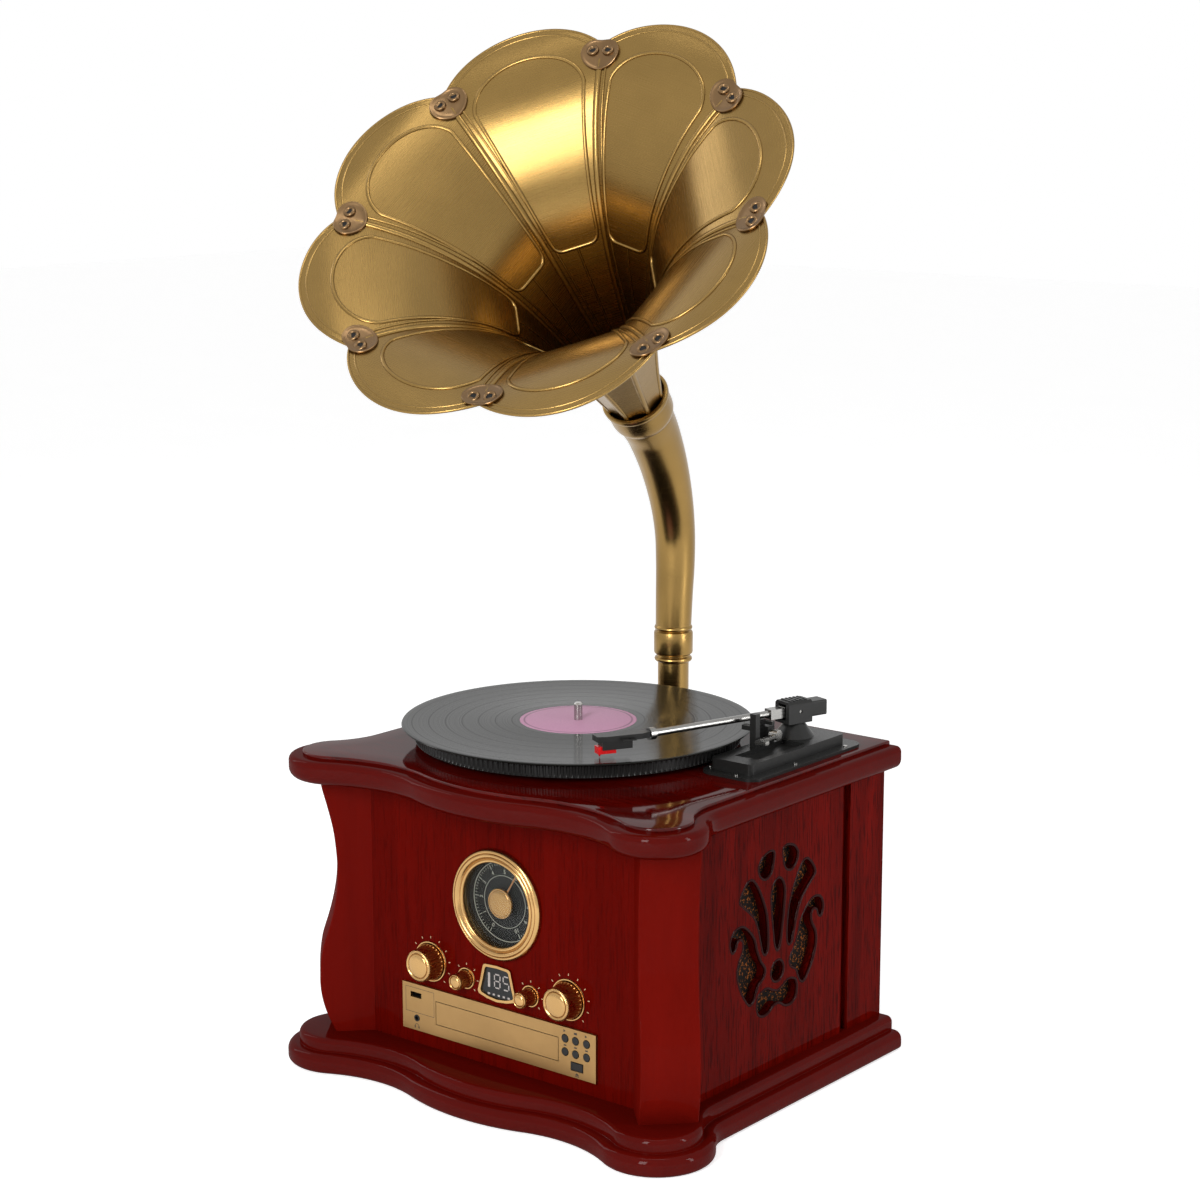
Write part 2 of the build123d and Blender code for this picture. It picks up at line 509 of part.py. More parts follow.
def elbow_loft(inset):
    rings_out = []
    for c, r in zip(centres, radii):
        t = path.param_at_point(c)
        rings_out.append(Plane(origin=c, x_dir=tuple(level), z_dir=path.tangent_at(t)) * Circle(r - inset))
    return loft(rings_out)


save("horn_elbow", elbow_loft(0) - elbow_loft(1.6))
collar_pts = [(22.0, -266.0), (25.4, -266.0), (28.6, -260.0), (28.6, -241.0), (29.8, -240.0), (29.8, -237.0),
              (28.6, -236.0), (27.2, -236.0), (27.2, -262.0), (22.0, -262.0)]
collar = turned(collar_pts, (0, 0, 0), (0, 0, 1), (1, 0, 0))
save("horn_collar", horn_plane * collar)

# Bell: eight folded sheet petals, flat across, with a raised seam on each joint
FLARE = [(23.0, -265.0), (23.4, -237.0), (26.6, -219.0), (31.6, -196.0), (39.5, -165.0), (49.5, -130.0), (62.0, -98.0),
         (78.0, -69.0), (98.0, -44.0), (121.0, -23.0), (145.0, -8.0), (168.0, 1.5), (190.0, 7.0), (214.0, 9.5)]


def flare_strip(low, high, width):
    """The bell's profile as sheet between two offsets, extruded across a petal."""
    def shifted(off):
        out = []
        for i, (r, s) in enumerate(FLARE):
            a = FLARE[max(i - 1, 0)]
            b = FLARE[min(i + 1, len(FLARE) - 1)]
            d = math.hypot(b[0] - a[0], b[1] - a[1])
            out.append((r - (b[1] - a[1]) / d * off, s + (b[0] - a[0]) / d * off))
        return out
    top = shifted(high)
    low_pts = shifted(low)
    face = make_face([Spline(*top), Line(top[-1], low_pts[-1]), Spline(*reversed(low_pts)), Line(low_pts[0], top[0])])
    return extrude(Plane(origin=(0, 0, 0), x_dir=(1, 0, 0), z_dir=(0, -1, 0)) * face, width, both=True)


half = math.pi / PETALS
ncx = NOTCH_R * math.cos(half)
ncy = NOTCH_R * math.sin(half)
scallop = ThreePointArc((ncx, -ncy), (TIP_R, 0), (ncx, ncy))
wedge = make_face([Line((0, 0), (ncx, -ncy)), scallop, Line((ncx, ncy), (0, 0))])
wedge_prism = Pos(0, 0, -262) * extrude(wedge, 300)
petal = flare_strip(-SHEET, 0, 100) & wedge_prism
far_x = 230 * math.cos(half)
far_y = 230 * math.sin(half)
full_wedge = make_face(Polyline((0, 0), (far_x, -far_y), (far_x, far_y), close=True))
full_prism = Pos(0, 0, -300) * extrude(full_wedge, 340)
seam_face = make_face(Polyline((0, 0), (NOTCH_R - 2, 0), (NOTCH_R - 2, -1.3), (0, -1.3), close=True))
seam_half = Rot(0, 0, math.degrees(half)) * (Pos(0, 0, -235) * extrude(seam_face, 340))
bell_piece = petal + (flare_strip(0, 1.1, 100) & seam_half & full_prism)
other_half = mirror(seam_half, Plane.XZ)
bell_piece = bell_piece + (flare_strip(0, 1.1, 100) & other_half & full_prism)
bell = [Rot(0, 0, 22.5 + 45 * k) * bell_piece for k in range(PETALS)]
save("horn_bell", horn_plane * Compound(bell))

# Oval tie plates over the seams at the rim, each with two eyelets
PLATE_AT = 177.0
oval = Pos(PLATE_AT, 0, 0) * Ellipse(13.5, 17.5)
oval_prism = Pos(0, 0, -60) * extrude(oval, 120)
strip = flare_strip(1.1, 2.1, 100)
up_half = strip & (Rot(0, 0, 22.5) * oval_prism) & full_prism
tie = Rot(0, 0, -22.5) * up_half
tie = tie + mirror(tie, Plane.XZ)
for ey in (-7.0, 7.0):
    tie += Pos(PLATE_AT + 3.0, ey, 1.0) * Cylinder(3.6, 7.0)
for ey in (-7.0, 7.0):
    tie -= Pos(PLATE_AT + 3.0, ey, 6.0) * Cylinder(1.7, 8.0)
for sign in (1, -1):
    half_face = make_face(Polyline((0, 0), (300, 0), (300, sign * 300 * math.tan(half)), close=True))
    half_prism = Pos(0, 0, -300) * extrude(half_face, 340)
    tie -= Rot(0, 0, 22.5 * sign) * flare_strip(-12.0, 1.1, 100) & half_prism
save("horn_plates", horn_plane * Compound([Rot(0, 0, 45 * k) * tie for k in range(PETALS)]))
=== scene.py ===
import math

import bmesh
import bpy
import numpy as np
from bpy.props import FloatProperty, FloatVectorProperty, IntProperty, PointerProperty
from bpy.types import Operator, Panel, PropertyGroup
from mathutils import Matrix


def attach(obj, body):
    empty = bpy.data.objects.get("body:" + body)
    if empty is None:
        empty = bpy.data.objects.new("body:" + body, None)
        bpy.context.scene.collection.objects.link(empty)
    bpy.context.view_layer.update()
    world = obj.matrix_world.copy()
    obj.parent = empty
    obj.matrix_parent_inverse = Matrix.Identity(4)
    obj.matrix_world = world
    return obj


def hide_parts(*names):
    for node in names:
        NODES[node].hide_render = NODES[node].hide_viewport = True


bl_info = {
    "name": "Petal Horn Record Player",
    "version": (1, 0, 0),
    "blender": (4, 5, 0),
    "location": "View3D > Sidebar > Record Player",
    "description": "Dresses the packed record player: lacquered cabinet, brass horn, dial and turntable",
    "category": "Object",
}

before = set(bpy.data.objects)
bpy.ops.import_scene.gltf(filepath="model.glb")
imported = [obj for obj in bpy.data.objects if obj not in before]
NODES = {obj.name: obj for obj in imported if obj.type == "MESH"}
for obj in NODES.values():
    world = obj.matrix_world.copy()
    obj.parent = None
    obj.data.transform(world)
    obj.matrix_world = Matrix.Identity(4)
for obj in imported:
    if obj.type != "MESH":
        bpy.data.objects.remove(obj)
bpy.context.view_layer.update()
MM = 0.001

# Sizes in millimetres, as in the frame
UPRIGHT = ((1, 0, 0), (0, 1, 0), (0, 0, 1))
FRONT = -152.8
SIDE_X = 175.4
DIAL_Z = 169.0
SPINDLE = np.array([-28.0, -14.5])
NECK = np.array([-69.0, 173.0, 0.0])
MOUTH = np.array([-7.9, -79.3, 722.0])
SEAM_PHASE = math.radians(92.3)
PETALS = 8
HALF = math.pi / PETALS
SEAM_TURNS = [2 * HALF * k for k in range(PETALS)]
PETAL_TURNS = [HALF + turn for turn in SEAM_TURNS]
NOTCH_R = 186.0
SHEET = 1.1
NECK_R = 23.05
PLATE_AT = 177.0
GRILLE_Y = -4.0
KNOBS = {"volume": (-75.0, 104.2), "tuning": (75.0, 104.2), "tone": (-35.0, 98.3), "function": (35.0, 98.3)}
FLARE = [(23, -265), (23.4, -237), (26.6, -219), (31.6, -196), (39.5, -165), (49.5, -130), (62, -98),
         (78, -69), (98, -44), (121, -23), (145, -8), (168, 1.5), (190, 7), (214, 9.5)]
TEAR = [(5.6, 210.9), (8, 214.6), (14, 215.2), (22.5, 212.3), (28, 206.5), (28, 201), (25.5, 196.5),
        (20, 192.8), (14, 193.3), (8.6, 198)]
PETAL = [(13.3, 132.9), (13.1, 146), (15.6, 162.6), (21, 175.9), (28, 187.9), (35.1, 195.7), (42.3, 196.6),
         (50.3, 189.7), (54.2, 182.2), (50.6, 177.9), (41.5, 170.8), (32.9, 162.5), (27.4, 150.9),
         (23.4, 137.2), (20.6, 129.8), (16.3, 128.2)]
SPEAR = [(0, 190), (6.5, 186.5), (10.2, 177.5), (9.2, 162), (6.8, 147), (4.3, 133.5), (0, 127.4),
         (-4.3, 133.5), (-6.8, 147), (-9.2, 162), (-10.2, 177.5), (-6.5, 186.5)]
HOOK = [(65.3, 143.6), (66.7, 150.7), (62.8, 158), (56, 160.8), (48.1, 159.9), (39.3, 153.6), (32.2, 144.9),
        (28.6, 134.6), (23.5, 124.7), (17, 116), (19, 108.8), (25.9, 104.8), (28.6, 100.4), (32.7, 92.9),
        (38.3, 90.2), (44.4, 95.4), (52.4, 107), (56.7, 120.1), (55.5, 130), (50.1, 138.7), (48.9, 145.9),
        (51.7, 150.1), (56.3, 148.8), (58.6, 143.6), (62.3, 141.1)]
BOW = [(0, 93.2), (6, 94.8), (14, 98.5), (21.5, 98), (27.5, 94.5), (29.2, 87), (27, 79.5), (20, 75.6),
       (11.5, 76.6), (5.5, 80.2), (0, 81.6), (-5.5, 80.2), (-11.5, 76.6), (-20, 75.6), (-27, 79.5),
       (-29.2, 87), (-27.5, 94.5), (-21.5, 98), (-14, 98.5), (-6, 94.8)]


COLOUR = {"subtype": "COLOR", "size": 3, "min": 0.0, "max": 1.0}


class HornSettings(PropertyGroup):
    """Sizes and colours of the horn."""

    tilt: FloatProperty(name="Tilt", description="How far the mouth looks up",
                        default=math.radians(43.0), subtype="ANGLE")
    turn: FloatProperty(name="Turn", description="How far the mouth is turned from the front",
                        default=math.radians(13.61), subtype="ANGLE")
    tip_radius: FloatProperty(name="Tip radius", description="Reach of a petal, in mm", default=209.0)
    rim_radius: FloatProperty(name="Rim wire", description="Radius of the rolled rim, in mm", default=1.25)
    bead_width: FloatProperty(name="Bead width", description="Width of a pressed line, in mm", default=3.4)
    bead_height: FloatProperty(name="Bead height", description="Height of a pressed line, in mm",
                               default=1.25)
    brass: FloatVectorProperty(name="Brass", description="Colour of the brushed brass",
                               default=(0.262, 0.163, 0.052), **COLOUR)
    copper: FloatVectorProperty(name="Tie plates", description="Colour of the tie plates",
                                default=(0.19, 0.115, 0.055), **COLOUR)


class CabinetSettings(PropertyGroup):
    """Colours of the cabinet and of what is on its front."""

    lacquer: FloatVectorProperty(name="Panel lacquer", description="Colour of the flat panels",
                                 default=(0.105, 0.0022, 0.0008), **COLOUR)
    moulding: FloatVectorProperty(name="Moulding lacquer", description="Colour of posts and mouldings",
                                  default=(0.075, 0.0022, 0.0011), **COLOUR)
    gold: FloatVectorProperty(name="Gold", description="Colour of the satin gold fascia",
                              default=(0.37, 0.225, 0.09), **COLOUR)
    knob: FloatVectorProperty(name="Knob gold", description="Colour of the fluted grips",
                              default=(0.50, 0.235, 0.075), **COLOUR)
    flutes: IntProperty(name="Flutes", description="Flutes round a large knob", default=26, min=8, max=60)


class TurntableSettings(PropertyGroup):
    """Sizes and colours of the turntable."""

    ribs: IntProperty(name="Rim ribs", description="Ribs round the platter", default=180, min=30, max=300)
    rib_depth: FloatProperty(name="Rib depth", description="Depth of a rib, in mm", default=1.3)
    label: FloatVectorProperty(name="Label", description="Colour of the record's label",
                               default=(0.60, 0.31, 0.47), **COLOUR)


class StageSettings(PropertyGroup):
    """Light and floor."""

    key_power: FloatProperty(name="Key light", description="Power of the front light",
                             default=36.0, unit="POWER")
    left_power: FloatProperty(name="Left light", description="Power of the left light",
                              default=6.0, unit="POWER")
    fill_power: FloatProperty(name="Right light", description="Power of the right light",
                              default=20.0, unit="POWER")
    top_power: FloatProperty(name="Top light", description="Power of the light overhead",
                             default=5.0, unit="POWER")
    ambient: FloatProperty(name="Ambient", description="Strength of the room's even light", default=0.36)


# Numbers


def smooth_curve(points, count, closed=False):
    """A curve through the points: a Catmull-Rom cubic on each span, sampled evenly in the span number."""
    p = np.asarray(points, float)
    n = len(p)
    if closed:
        t = np.linspace(0, n, count, endpoint=False)
        i = np.floor(t).astype(int)
        a, b, c, d = p[(i - 1) % n], p[i % n], p[(i + 1) % n], p[(i + 2) % n]
    else:
        t = np.linspace(0, n - 1, count)
        i = np.minimum(np.floor(t).astype(int), n - 2)
        ext = np.vstack([2 * p[0] - p[1], p, 2 * p[-1] - p[-2]])
        a, b, c, d = ext[i], ext[i + 1], ext[i + 2], ext[i + 3]
    f = (t - i)[:, None]
    square = 2 * a - 5 * b + 4 * c - d
    cube = 3 * b - a - 3 * c + d
    return 0.5 * (2 * b + (c - a) * f + square * f ** 2 + cube * f ** 3)


def lengths(points):
    """Distance travelled along a polyline at each of its points."""
    step = np.linalg.norm(np.diff(points, axis=0), axis=1)
    return np.concatenate([[0.0], np.cumsum(step)])


def evenly(points, count):
    """The polyline sampled at equal distances."""
    s = lengths(points)
    t = np.linspace(0, s[-1], count)
    return np.stack([np.interp(t, s, points[:, k]) for k in range(points.shape[1])], 1)


def unit(v):
    """Vectors scaled to length one."""
    return v / np.maximum(np.linalg.norm(v, axis=-1, keepdims=True), 1e-12)


def arc(cx, cz, r, start, end, count=7):
    """Points (x, z) on a circle's arc between two angles in degrees."""
    a = np.radians(np.linspace(start, end, count))
    return np.stack([cx + r * np.cos(a), cz + r * np.sin(a)], 1)


def quad_numbers(rows, cols, wrap_rows, wrap_cols, stride=None):
    """Corner numbers of the quads over a grid; with a row's length as stride, nothing joins back."""
    r, c = np.meshgrid(np.arange(rows - (not wrap_rows)), np.arange(cols - (not wrap_cols)), indexing="ij")
    down, across = r + 1, c + 1
    if stride is None:
        down, across, stride = down % rows, across % cols, cols
    corners = [r * stride + c, r * stride + across, down * stride + across, down * stride + c]
    return np.stack(corners, -1).reshape(-1, 4)


class Shape:
    """Points, faces and face-corner UVs gathered into one piece."""

    def __init__(self):
        self.points = []
        self.faces = []
        self.uvs = []
        self.count = 0

    def grid(self, points, wrap_rows=False, wrap_cols=False, caps=False, uv=None):
        """Adds quads over a grid of points; caps close its first and last rows."""
        rows, cols = points.shape[:2]
        if uv is None:
            uv = np.zeros((rows + 1, cols + 1, 2))
        corner = quad_numbers(rows, cols, wrap_rows, wrap_cols, uv.shape[1])
        self.uvs.append(uv.reshape(-1, 2)[corner.reshape(-1)])
        self.faces += (quad_numbers(rows, cols, wrap_rows, wrap_cols) + self.count).tolist()
        if caps:
            first = [self.count + c for c in range(cols)]
            last = [self.count + (rows - 1) * cols + c for c in range(cols)]
            self.faces += [first[::-1], last]
            self.uvs.append(np.zeros((2 * cols, 2)))
        self.points.append(points.reshape(-1, 3))
        self.count += rows * cols

    def build(self, name, body, finish, *stands_for, crease=40.0):
        """Makes the mesh object, closes its seams, turns its faces outwards and sets it on its body."""
        mesh = bpy.data.meshes.new(name)
        mesh.from_pydata((np.concatenate(self.points) * MM).tolist(), [], self.faces)
        layer = mesh.uv_layers.new(name="UVMap")
        layer.data.foreach_set("uv", np.concatenate(self.uvs).astype(np.float32).ravel())
        mesh.polygons.foreach_set("use_smooth", np.ones(len(mesh.polygons), bool))
        work = bmesh.new()
        work.from_mesh(mesh)
        bmesh.ops.remove_doubles(work, verts=work.verts, dist=1e-6)
        bmesh.ops.dissolve_degenerate(work, edges=work.edges, dist=1e-7)
        bmesh.ops.recalc_face_normals(work, faces=work.faces)
        work.to_mesh(mesh)
        work.free()
        mesh.set_sharp_from_angle(angle=math.radians(crease))
        piece = bpy.data.objects.new(name, mesh)
        bpy.context.scene.collection.objects.link(piece)
        mesh.materials.append(finish_named(finish))
        if stands_for:
            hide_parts(*stands_for)
        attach(piece, body)


def placed(points, origin, x_axis, y_axis, z_axis):
    """Local points carried into the row frame by an origin and three axes."""
    p = np.asarray(points, float)
    x, y, z = (p[..., k:k + 1] * np.asarray(axis) for k, axis in enumerate((x_axis, y_axis, z_axis)))
    return np.asarray(origin) + x + y + z


def lathe_grid(profile, count, wave=None):
    """Each profile point (radius, height) goes round the axis; wave(angle, profile) scales its radius."""
    turn = np.linspace(0, 2 * math.pi, count, endpoint=False)[:, None]
    r = profile[:, 0][None, :] * np.ones_like(turn)
    if wave is not None:
        r = r * wave(turn, profile[None, :, :])
    grid = np.stack([r * np.cos(turn), r * np.sin(turn), profile[:, 1][None, :] * np.ones_like(turn)], -1)
    along = lengths(profile)
    u = np.linspace(0, 1, count + 1)[:, None] * np.ones(len(profile) + 1)[None, :]
    v = np.append(along, along[-1] + 1)[None, :] * np.ones(count + 1)[:, None]
    return grid, np.stack([u, v], -1)


def lathe(shape, profile, origin, x_axis, y_axis, z_axis, count=96, wave=None, closed=True):
    """Adds a turned form to a shape. An open profile starts and ends on the axis."""
    grid, uv = lathe_grid(np.asarray(profile, float), count, wave)
    shape.grid(placed(grid, origin, x_axis, y_axis, z_axis), wrap_rows=True, wrap_cols=closed, uv=uv)


def frames_along(path, up):
    """Unit side vectors and ups at each point of a path, from a rough up."""
    tangent = unit(np.gradient(path, axis=0))
    side = unit(np.cross(tangent, up))
    return side, np.cross(side, tangent)


def sweep(shape, path, up, section, closed=False):
    """A section (across, up) carried along a path."""
    if closed:
        ring = np.vstack([path[-1:], path, path[:1]])
        ups = up if up.ndim == 1 else np.vstack([up[-1:], up, up[:1]])
        side, top = frames_along(ring, ups)
        side, top = side[1:-1], top[1:-1]
    else:
        side, top = frames_along(path, up)
    sec = np.asarray(section, float)
    grid = path[:, None] + side[:, None] * sec[None, :, 0:1] + top[:, None] * sec[None, :, 1:2]
    shape.grid(grid, wrap_rows=closed, wrap_cols=True, caps=not closed)


def oval(width, height, count=10):
    """Points round an oval section, from its width and half its height."""
    a = np.linspace(0, 2 * math.pi, count, endpoint=False)
    return np.stack([width / 2 * np.cos(a), height * np.sin(a)], 1)


# Materials


class Finish:
    """A node material being put together round one Principled shader."""

    def __init__(self, name, coords="Object"):
        self.material = bpy.data.materials.new(name)
        self.material.use_nodes = True
        self.nodes = self.material.node_tree.nodes
        self.links = self.material.node_tree.links
        self.shader = self.nodes["Principled BSDF"]
        self.where = self.nodes.new("ShaderNodeTexCoord").outputs[coords]

    def put(self, **values):
        """Sets plain values on the shader's own sockets."""
        for key, value in values.items():
            self.shader.inputs[key.replace("_", " ")].default_value = value

    def node(self, kind, links=None, **values):
        """Adds a node, sets its values by attribute or socket, and links its inputs."""
        made = self.nodes.new(kind)
        for key, value in values.items():
            if hasattr(made, key):
                setattr(made, key, value)
            else:
                made.inputs[key.replace("_", " ")].default_value = value
        for key, source in (links or {}).items():
            self.links.new(source, made.inputs[key])
        return made

    def stretched(self, scale, shift=(0, 0, 0)):
        """Coordinates scaled, then moved."""
        made = self.node("ShaderNodeMapping", {"Vector": self.where})
        made.inputs["Scale"].default_value = scale
        made.inputs["Location"].default_value = shift
        return made.outputs["Vector"]

    def noise(self, scale, vector=None, detail=3.0, roughness=0.5, distortion=0.0):
        """Cloudy noise from 0 to 1."""
        made = self.node("ShaderNodeTexNoise", {"Vector": vector or self.where}, Scale=scale, Detail=detail,
                         Roughness=roughness, Distortion=distortion)
        return made.outputs["Fac"]

    def ramp(self, source, *stops):
        """A ramp of greys with (place, grey) stops."""
        made = self.node("ShaderNodeValToRGB", {"Fac": source})
        band = made.color_ramp
        while len(band.elements) < len(stops):
            band.elements.new(0.5)
        for element, (place, colour) in zip(band.elements, stops):
            element.position = place
            element.color = (colour, colour, colour, 1)
        return made.outputs["Color"]

    def feed(self, socket, value):
        """Links a socket to a node, or sets its plain value; three numbers are a colour."""
        if isinstance(value, bpy.types.NodeSocket):
            self.links.new(value, socket)
        else:
            socket.default_value = value if isinstance(value, (int, float)) else (*value, 1)

    def blend(self, amount, first, second):
        """Mixes two colours; either may be a socket or a colour."""
        made = self.nodes.new("ShaderNodeMix")
        made.data_type = "RGBA"
        for index, value in ((0, amount), (6, first), (7, second)):
            self.feed(made.inputs[index], value)
        return made.outputs[2]

    def mottled(self, source, low, high, colour, dark, light):
        """A colour that goes from a darker to a lighter shade between two values of a pattern."""
        return self.blend(self.ramp(source, (low, 0), (high, 1)), shade(colour, dark), shade(colour, light))

    def sums(self, operation, first, second=0.0, third=0.0):
        """Arithmetic on sockets or numbers."""
        made = self.nodes.new("ShaderNodeMath")
        made.operation = operation
        for index, value in enumerate((first, second, third)):
            self.feed(made.inputs[index], value)
        return made.outputs[0]

    def times(self, first, second):
        """The product of two sockets or numbers."""
        return self.sums("MULTIPLY", first, second)

    def link(self, socket, source):
        """Links one of the shader's own sockets."""
        self.links.new(source, self.shader.inputs[socket])

    def colour(self, source):
        """Links the shader's colour."""
        self.link("Base Color", source)

    def rough(self, source):
        """Links the shader's roughness."""
        self.link("Roughness", source)

    def bump(self, source, distance):
        """Raises the surface by a pattern, in metres."""
        made = self.node("ShaderNodeBump", {"Height": source}, Distance=distance)
        self.link("Normal", made.outputs["Normal"])

    def follow_uv(self):
        """Turns the brushed sheen along the UV map."""
        tangent = self.node("ShaderNodeTangent", direction_type="UV_MAP", uv_map="UVMap")
        self.link("Tangent", tangent.outputs["Tangent"])

    def from_spindle(self):
        """Distance from the spindle's axis, in metres."""
        centred = self.stretched((1, 1, 0), (-SPINDLE[0] * MM, -SPINDLE[1] * MM, 0))
        return self.node("ShaderNodeVectorMath", {0: centred}, operation="LENGTH").outputs["Value"]


def shade(colour, factor):
    """A colour made darker or lighter."""
    return tuple(min(1.0, c * factor) for c in colour)


def brushed(name, colour, rough=0.27):
    """Brushed metal: fine lines across the piece's UV map, with slow tarnish and faint handling marks."""
    f = Finish(name, "UV")
    along = f.noise(1.0, f.stretched((0.02, 1.1, 1.0)), detail=6.0, roughness=0.7)
    fine = f.noise(1.0, f.stretched((0.05, 6.0, 1.0)), detail=2.0)
    body = f.nodes.new("ShaderNodeTexCoord").outputs["Object"]
    tarnish = f.noise(9.0, body, detail=4.0, roughness=0.6)
    f.colour(f.mottled(tarnish, 0.3, 0.75, colour, 0.86, 1.1))
    f.rough(f.ramp(along, (0.25, rough - 0.03), (0.8, rough + 0.05)))
    f.bump(f.sums("ADD", along, fine), 0.000012)
    f.put(Metallic=1.0, Anisotropic=0.55)
    f.follow_uv()
    return f.material


def plain_metal(name, colour, rough=0.3):
    """Satin metal with a fine even grain on Object coordinates."""
    f = Finish(name)
    speck = f.noise(180.0, detail=4.0)
    f.colour(f.mottled(f.noise(18.0), 0.3, 0.7, colour, 0.9, 1.06))
    f.rough(f.ramp(speck, (0.2, rough - 0.06), (0.8, rough + 0.08)))
    f.bump(speck, 0.00002)
    f.put(Metallic=1.0)
    return f.material


def lacquer(name, colour, axis, pores, coat, rough=0.4):
    """Stained wood under gloss lacquer: long growth lines and short dark pores along one axis."""
    f = Finish(name)
    long_way = [34.0, 34.0, 34.0]
    long_way[axis] = 3.2
    short = [520.0, 520.0, 520.0]
    short[axis] = 42.0
    depth = 0.35 * max(pores, 0.3)
    growth = f.noise(1.0, f.stretched(long_way), detail=4.0, roughness=0.6, distortion=0.6)
    figure = f.node("ShaderNodeTexWave", {"Vector": f.stretched([v / 40.0 for v in long_way])}, Scale=30.0,
                    Distortion=9.0, Detail=3.0, Detail_Scale=1.2)
    pore = f.ramp(f.noise(1.0, f.stretched(short), detail=2.0), (0.36, 1.0), (0.47, 0.0))
    tone = f.mottled(growth, 0.25, 0.75, colour, 1 - depth, 1 + depth)
    tone = f.blend(f.times(figure.outputs["Fac"], 0.22 * pores), tone, shade(colour, 0.45))
    f.colour(f.blend(f.times(pore, 0.55 * pores), tone, shade(colour, 0.25)))
    f.bump(f.times(pore, -1.0), 0.00012 * pores)
    f.put(Roughness=rough, Coat_Weight=coat, Coat_Roughness=0.05, Coat_IOR=1.5, Specular_IOR_Level=0.0)
    return f.material


def plastic(name, colour, rough=0.4, grain=0.00003):
    """Moulded plastic with a fine spark texture."""
    f = Finish(name)
    speck = f.noise(900.0, detail=2.0)
    f.colour(f.mottled(f.noise(30.0), 0.35, 0.7, colour, 0.85, 1.15))
    f.rough(f.ramp(speck, (0.3, rough - 0.05), (0.7, rough + 0.08)))
    f.bump(speck, grain)
    f.put(Specular_IOR_Level=0.25)
    return f.material


def grille_cloth(name):
    """Black open weave with amber flecks between dark knots."""
    f = Finish(name)
    cell = f.node("ShaderNodeTexVoronoi", {"Vector": f.where}, Scale=430.0, feature="DISTANCE_TO_EDGE",
                  Randomness=0.75).outputs["Distance"]
    broken = f.ramp(f.noise(330.0, detail=1.0), (0.50, 0.0), (0.60, 1.0))
    fleck = f.times(f.ramp(cell, (0.02, 1.0), (0.11, 0.0)), broken)
    f.colour(f.blend(fleck, (0.006, 0.004, 0.003), (0.42, 0.12, 0.02)))
    f.bump(cell, 0.0003)
    f.put(Roughness=0.75, Specular_IOR_Level=0.1)
    return f.material


def vinyl(name):
    """Pressed record: fine grooves, quiet bands between tracks and a broad sheen."""
    groove_pitch, track_pitch = 0.0011, 0.0142
    f = Finish(name)
    far = f.from_spindle()
    groove = f.sums("SINE", f.times(far, 2 * math.pi / groove_pitch))
    track = f.sums("FRACT", f.times(far, 1 / track_pitch))
    gap = f.ramp(track, (0.0, 1.0), (0.045, 0.0), (0.955, 0.0), (1.0, 1.0))
    band = f.noise(1.0, f.node("ShaderNodeCombineXYZ", {"X": f.times(far, 900.0)}).outputs[0], detail=5.0)
    f.colour(f.blend(gap, (0.009, 0.0095, 0.008), (0.004, 0.004, 0.004)))
    f.rough(f.blend(gap, f.ramp(band, (0.3, 0.08), (0.7, 0.15)), (0.06, 0.06, 0.06)))
    shine = f.sums("MULTIPLY_ADD", f.ramp(band, (0.3, 0.0), (0.7, 1.0)), 0.16, 0.10)
    f.link("Specular IOR Level", f.blend(gap, shine, (0.04, 0.04, 0.04)))
    f.bump(f.sums("ADD", groove, f.times(band, 2.0)), 0.000015)
    f.put(IOR=1.32, Anisotropic=0.5)
    f.follow_uv()
    return f.material


def paper_label(name, colour):
    """Record label: matt paper with a printed ring and fine fibres."""
    f = Finish(name)
    ring = f.ramp(f.times(f.from_spindle(), 20.0), (0.90, 0.0), (0.915, 1.0), (0.93, 1.0), (0.945, 0.0))
    fibre = f.noise(700.0)
    f.colour(f.blend(ring, f.mottled(fibre, 0.3, 0.7, colour, 0.93, 1.07), shade(colour, 0.5)))
    f.bump(fibre, 0.00002)
    f.put(Roughness=0.5, Specular_IOR_Level=0.2)
    return f.material


def clear_glass(name):
    """Thin clear window."""
    f = Finish(name)
    f.put(Alpha=0.1, Roughness=0.0, Base_Color=(0.02, 0.02, 0.02, 1.0))
    return f.material


def printed(name, colour, rough=0.6):
    """Printed ink with a slight unevenness."""
    f = Finish(name)
    f.colour(f.mottled(f.noise(1500.0, detail=2.0), 0.3, 0.7, colour, 0.88, 1.05))
    f.put(Roughness=rough)
    return f.material


def seen_directly(tree):
    """One for a camera, glossy or transmission ray, else nought."""
    ray = tree.nodes.new("ShaderNodeLightPath")
    seen = ray.outputs["Is Camera Ray"]
    for kind in ("Is Glossy Ray", "Is Transmission Ray"):
        either = tree.nodes.new("ShaderNodeMath")
        either.operation = "MAXIMUM"
        tree.links.new(seen, either.inputs[0])
        tree.links.new(ray.outputs[kind], either.inputs[1])
        seen = either.outputs[0]
    return seen


def studio_floor(name):
    """Pale floor that reads white to the camera and in reflections, and keeps the object's shadow."""
    f = Finish(name)
    f.colour(f.ramp(f.noise(6.0, detail=2.0), (0.0, 0.80), (1.0, 0.86)))
    f.put(Roughness=0.8)
    glow = f.node("ShaderNodeEmission", Strength=0.62)
    glow.inputs["Color"].default_value = (1, 1, 1, 1)
    both = f.node("ShaderNodeAddShader", {0: f.shader.outputs[0], 1: glow.outputs[0]})
    pick = f.node("ShaderNodeMixShader", {0: seen_directly(f.material.node_tree), 1: f.shader.outputs[0],
                                          2: both.outputs[0]})
    f.links.new(pick.outputs[0], f.nodes["Material Output"].inputs["Surface"])
    return f.material


FINISHES = {}


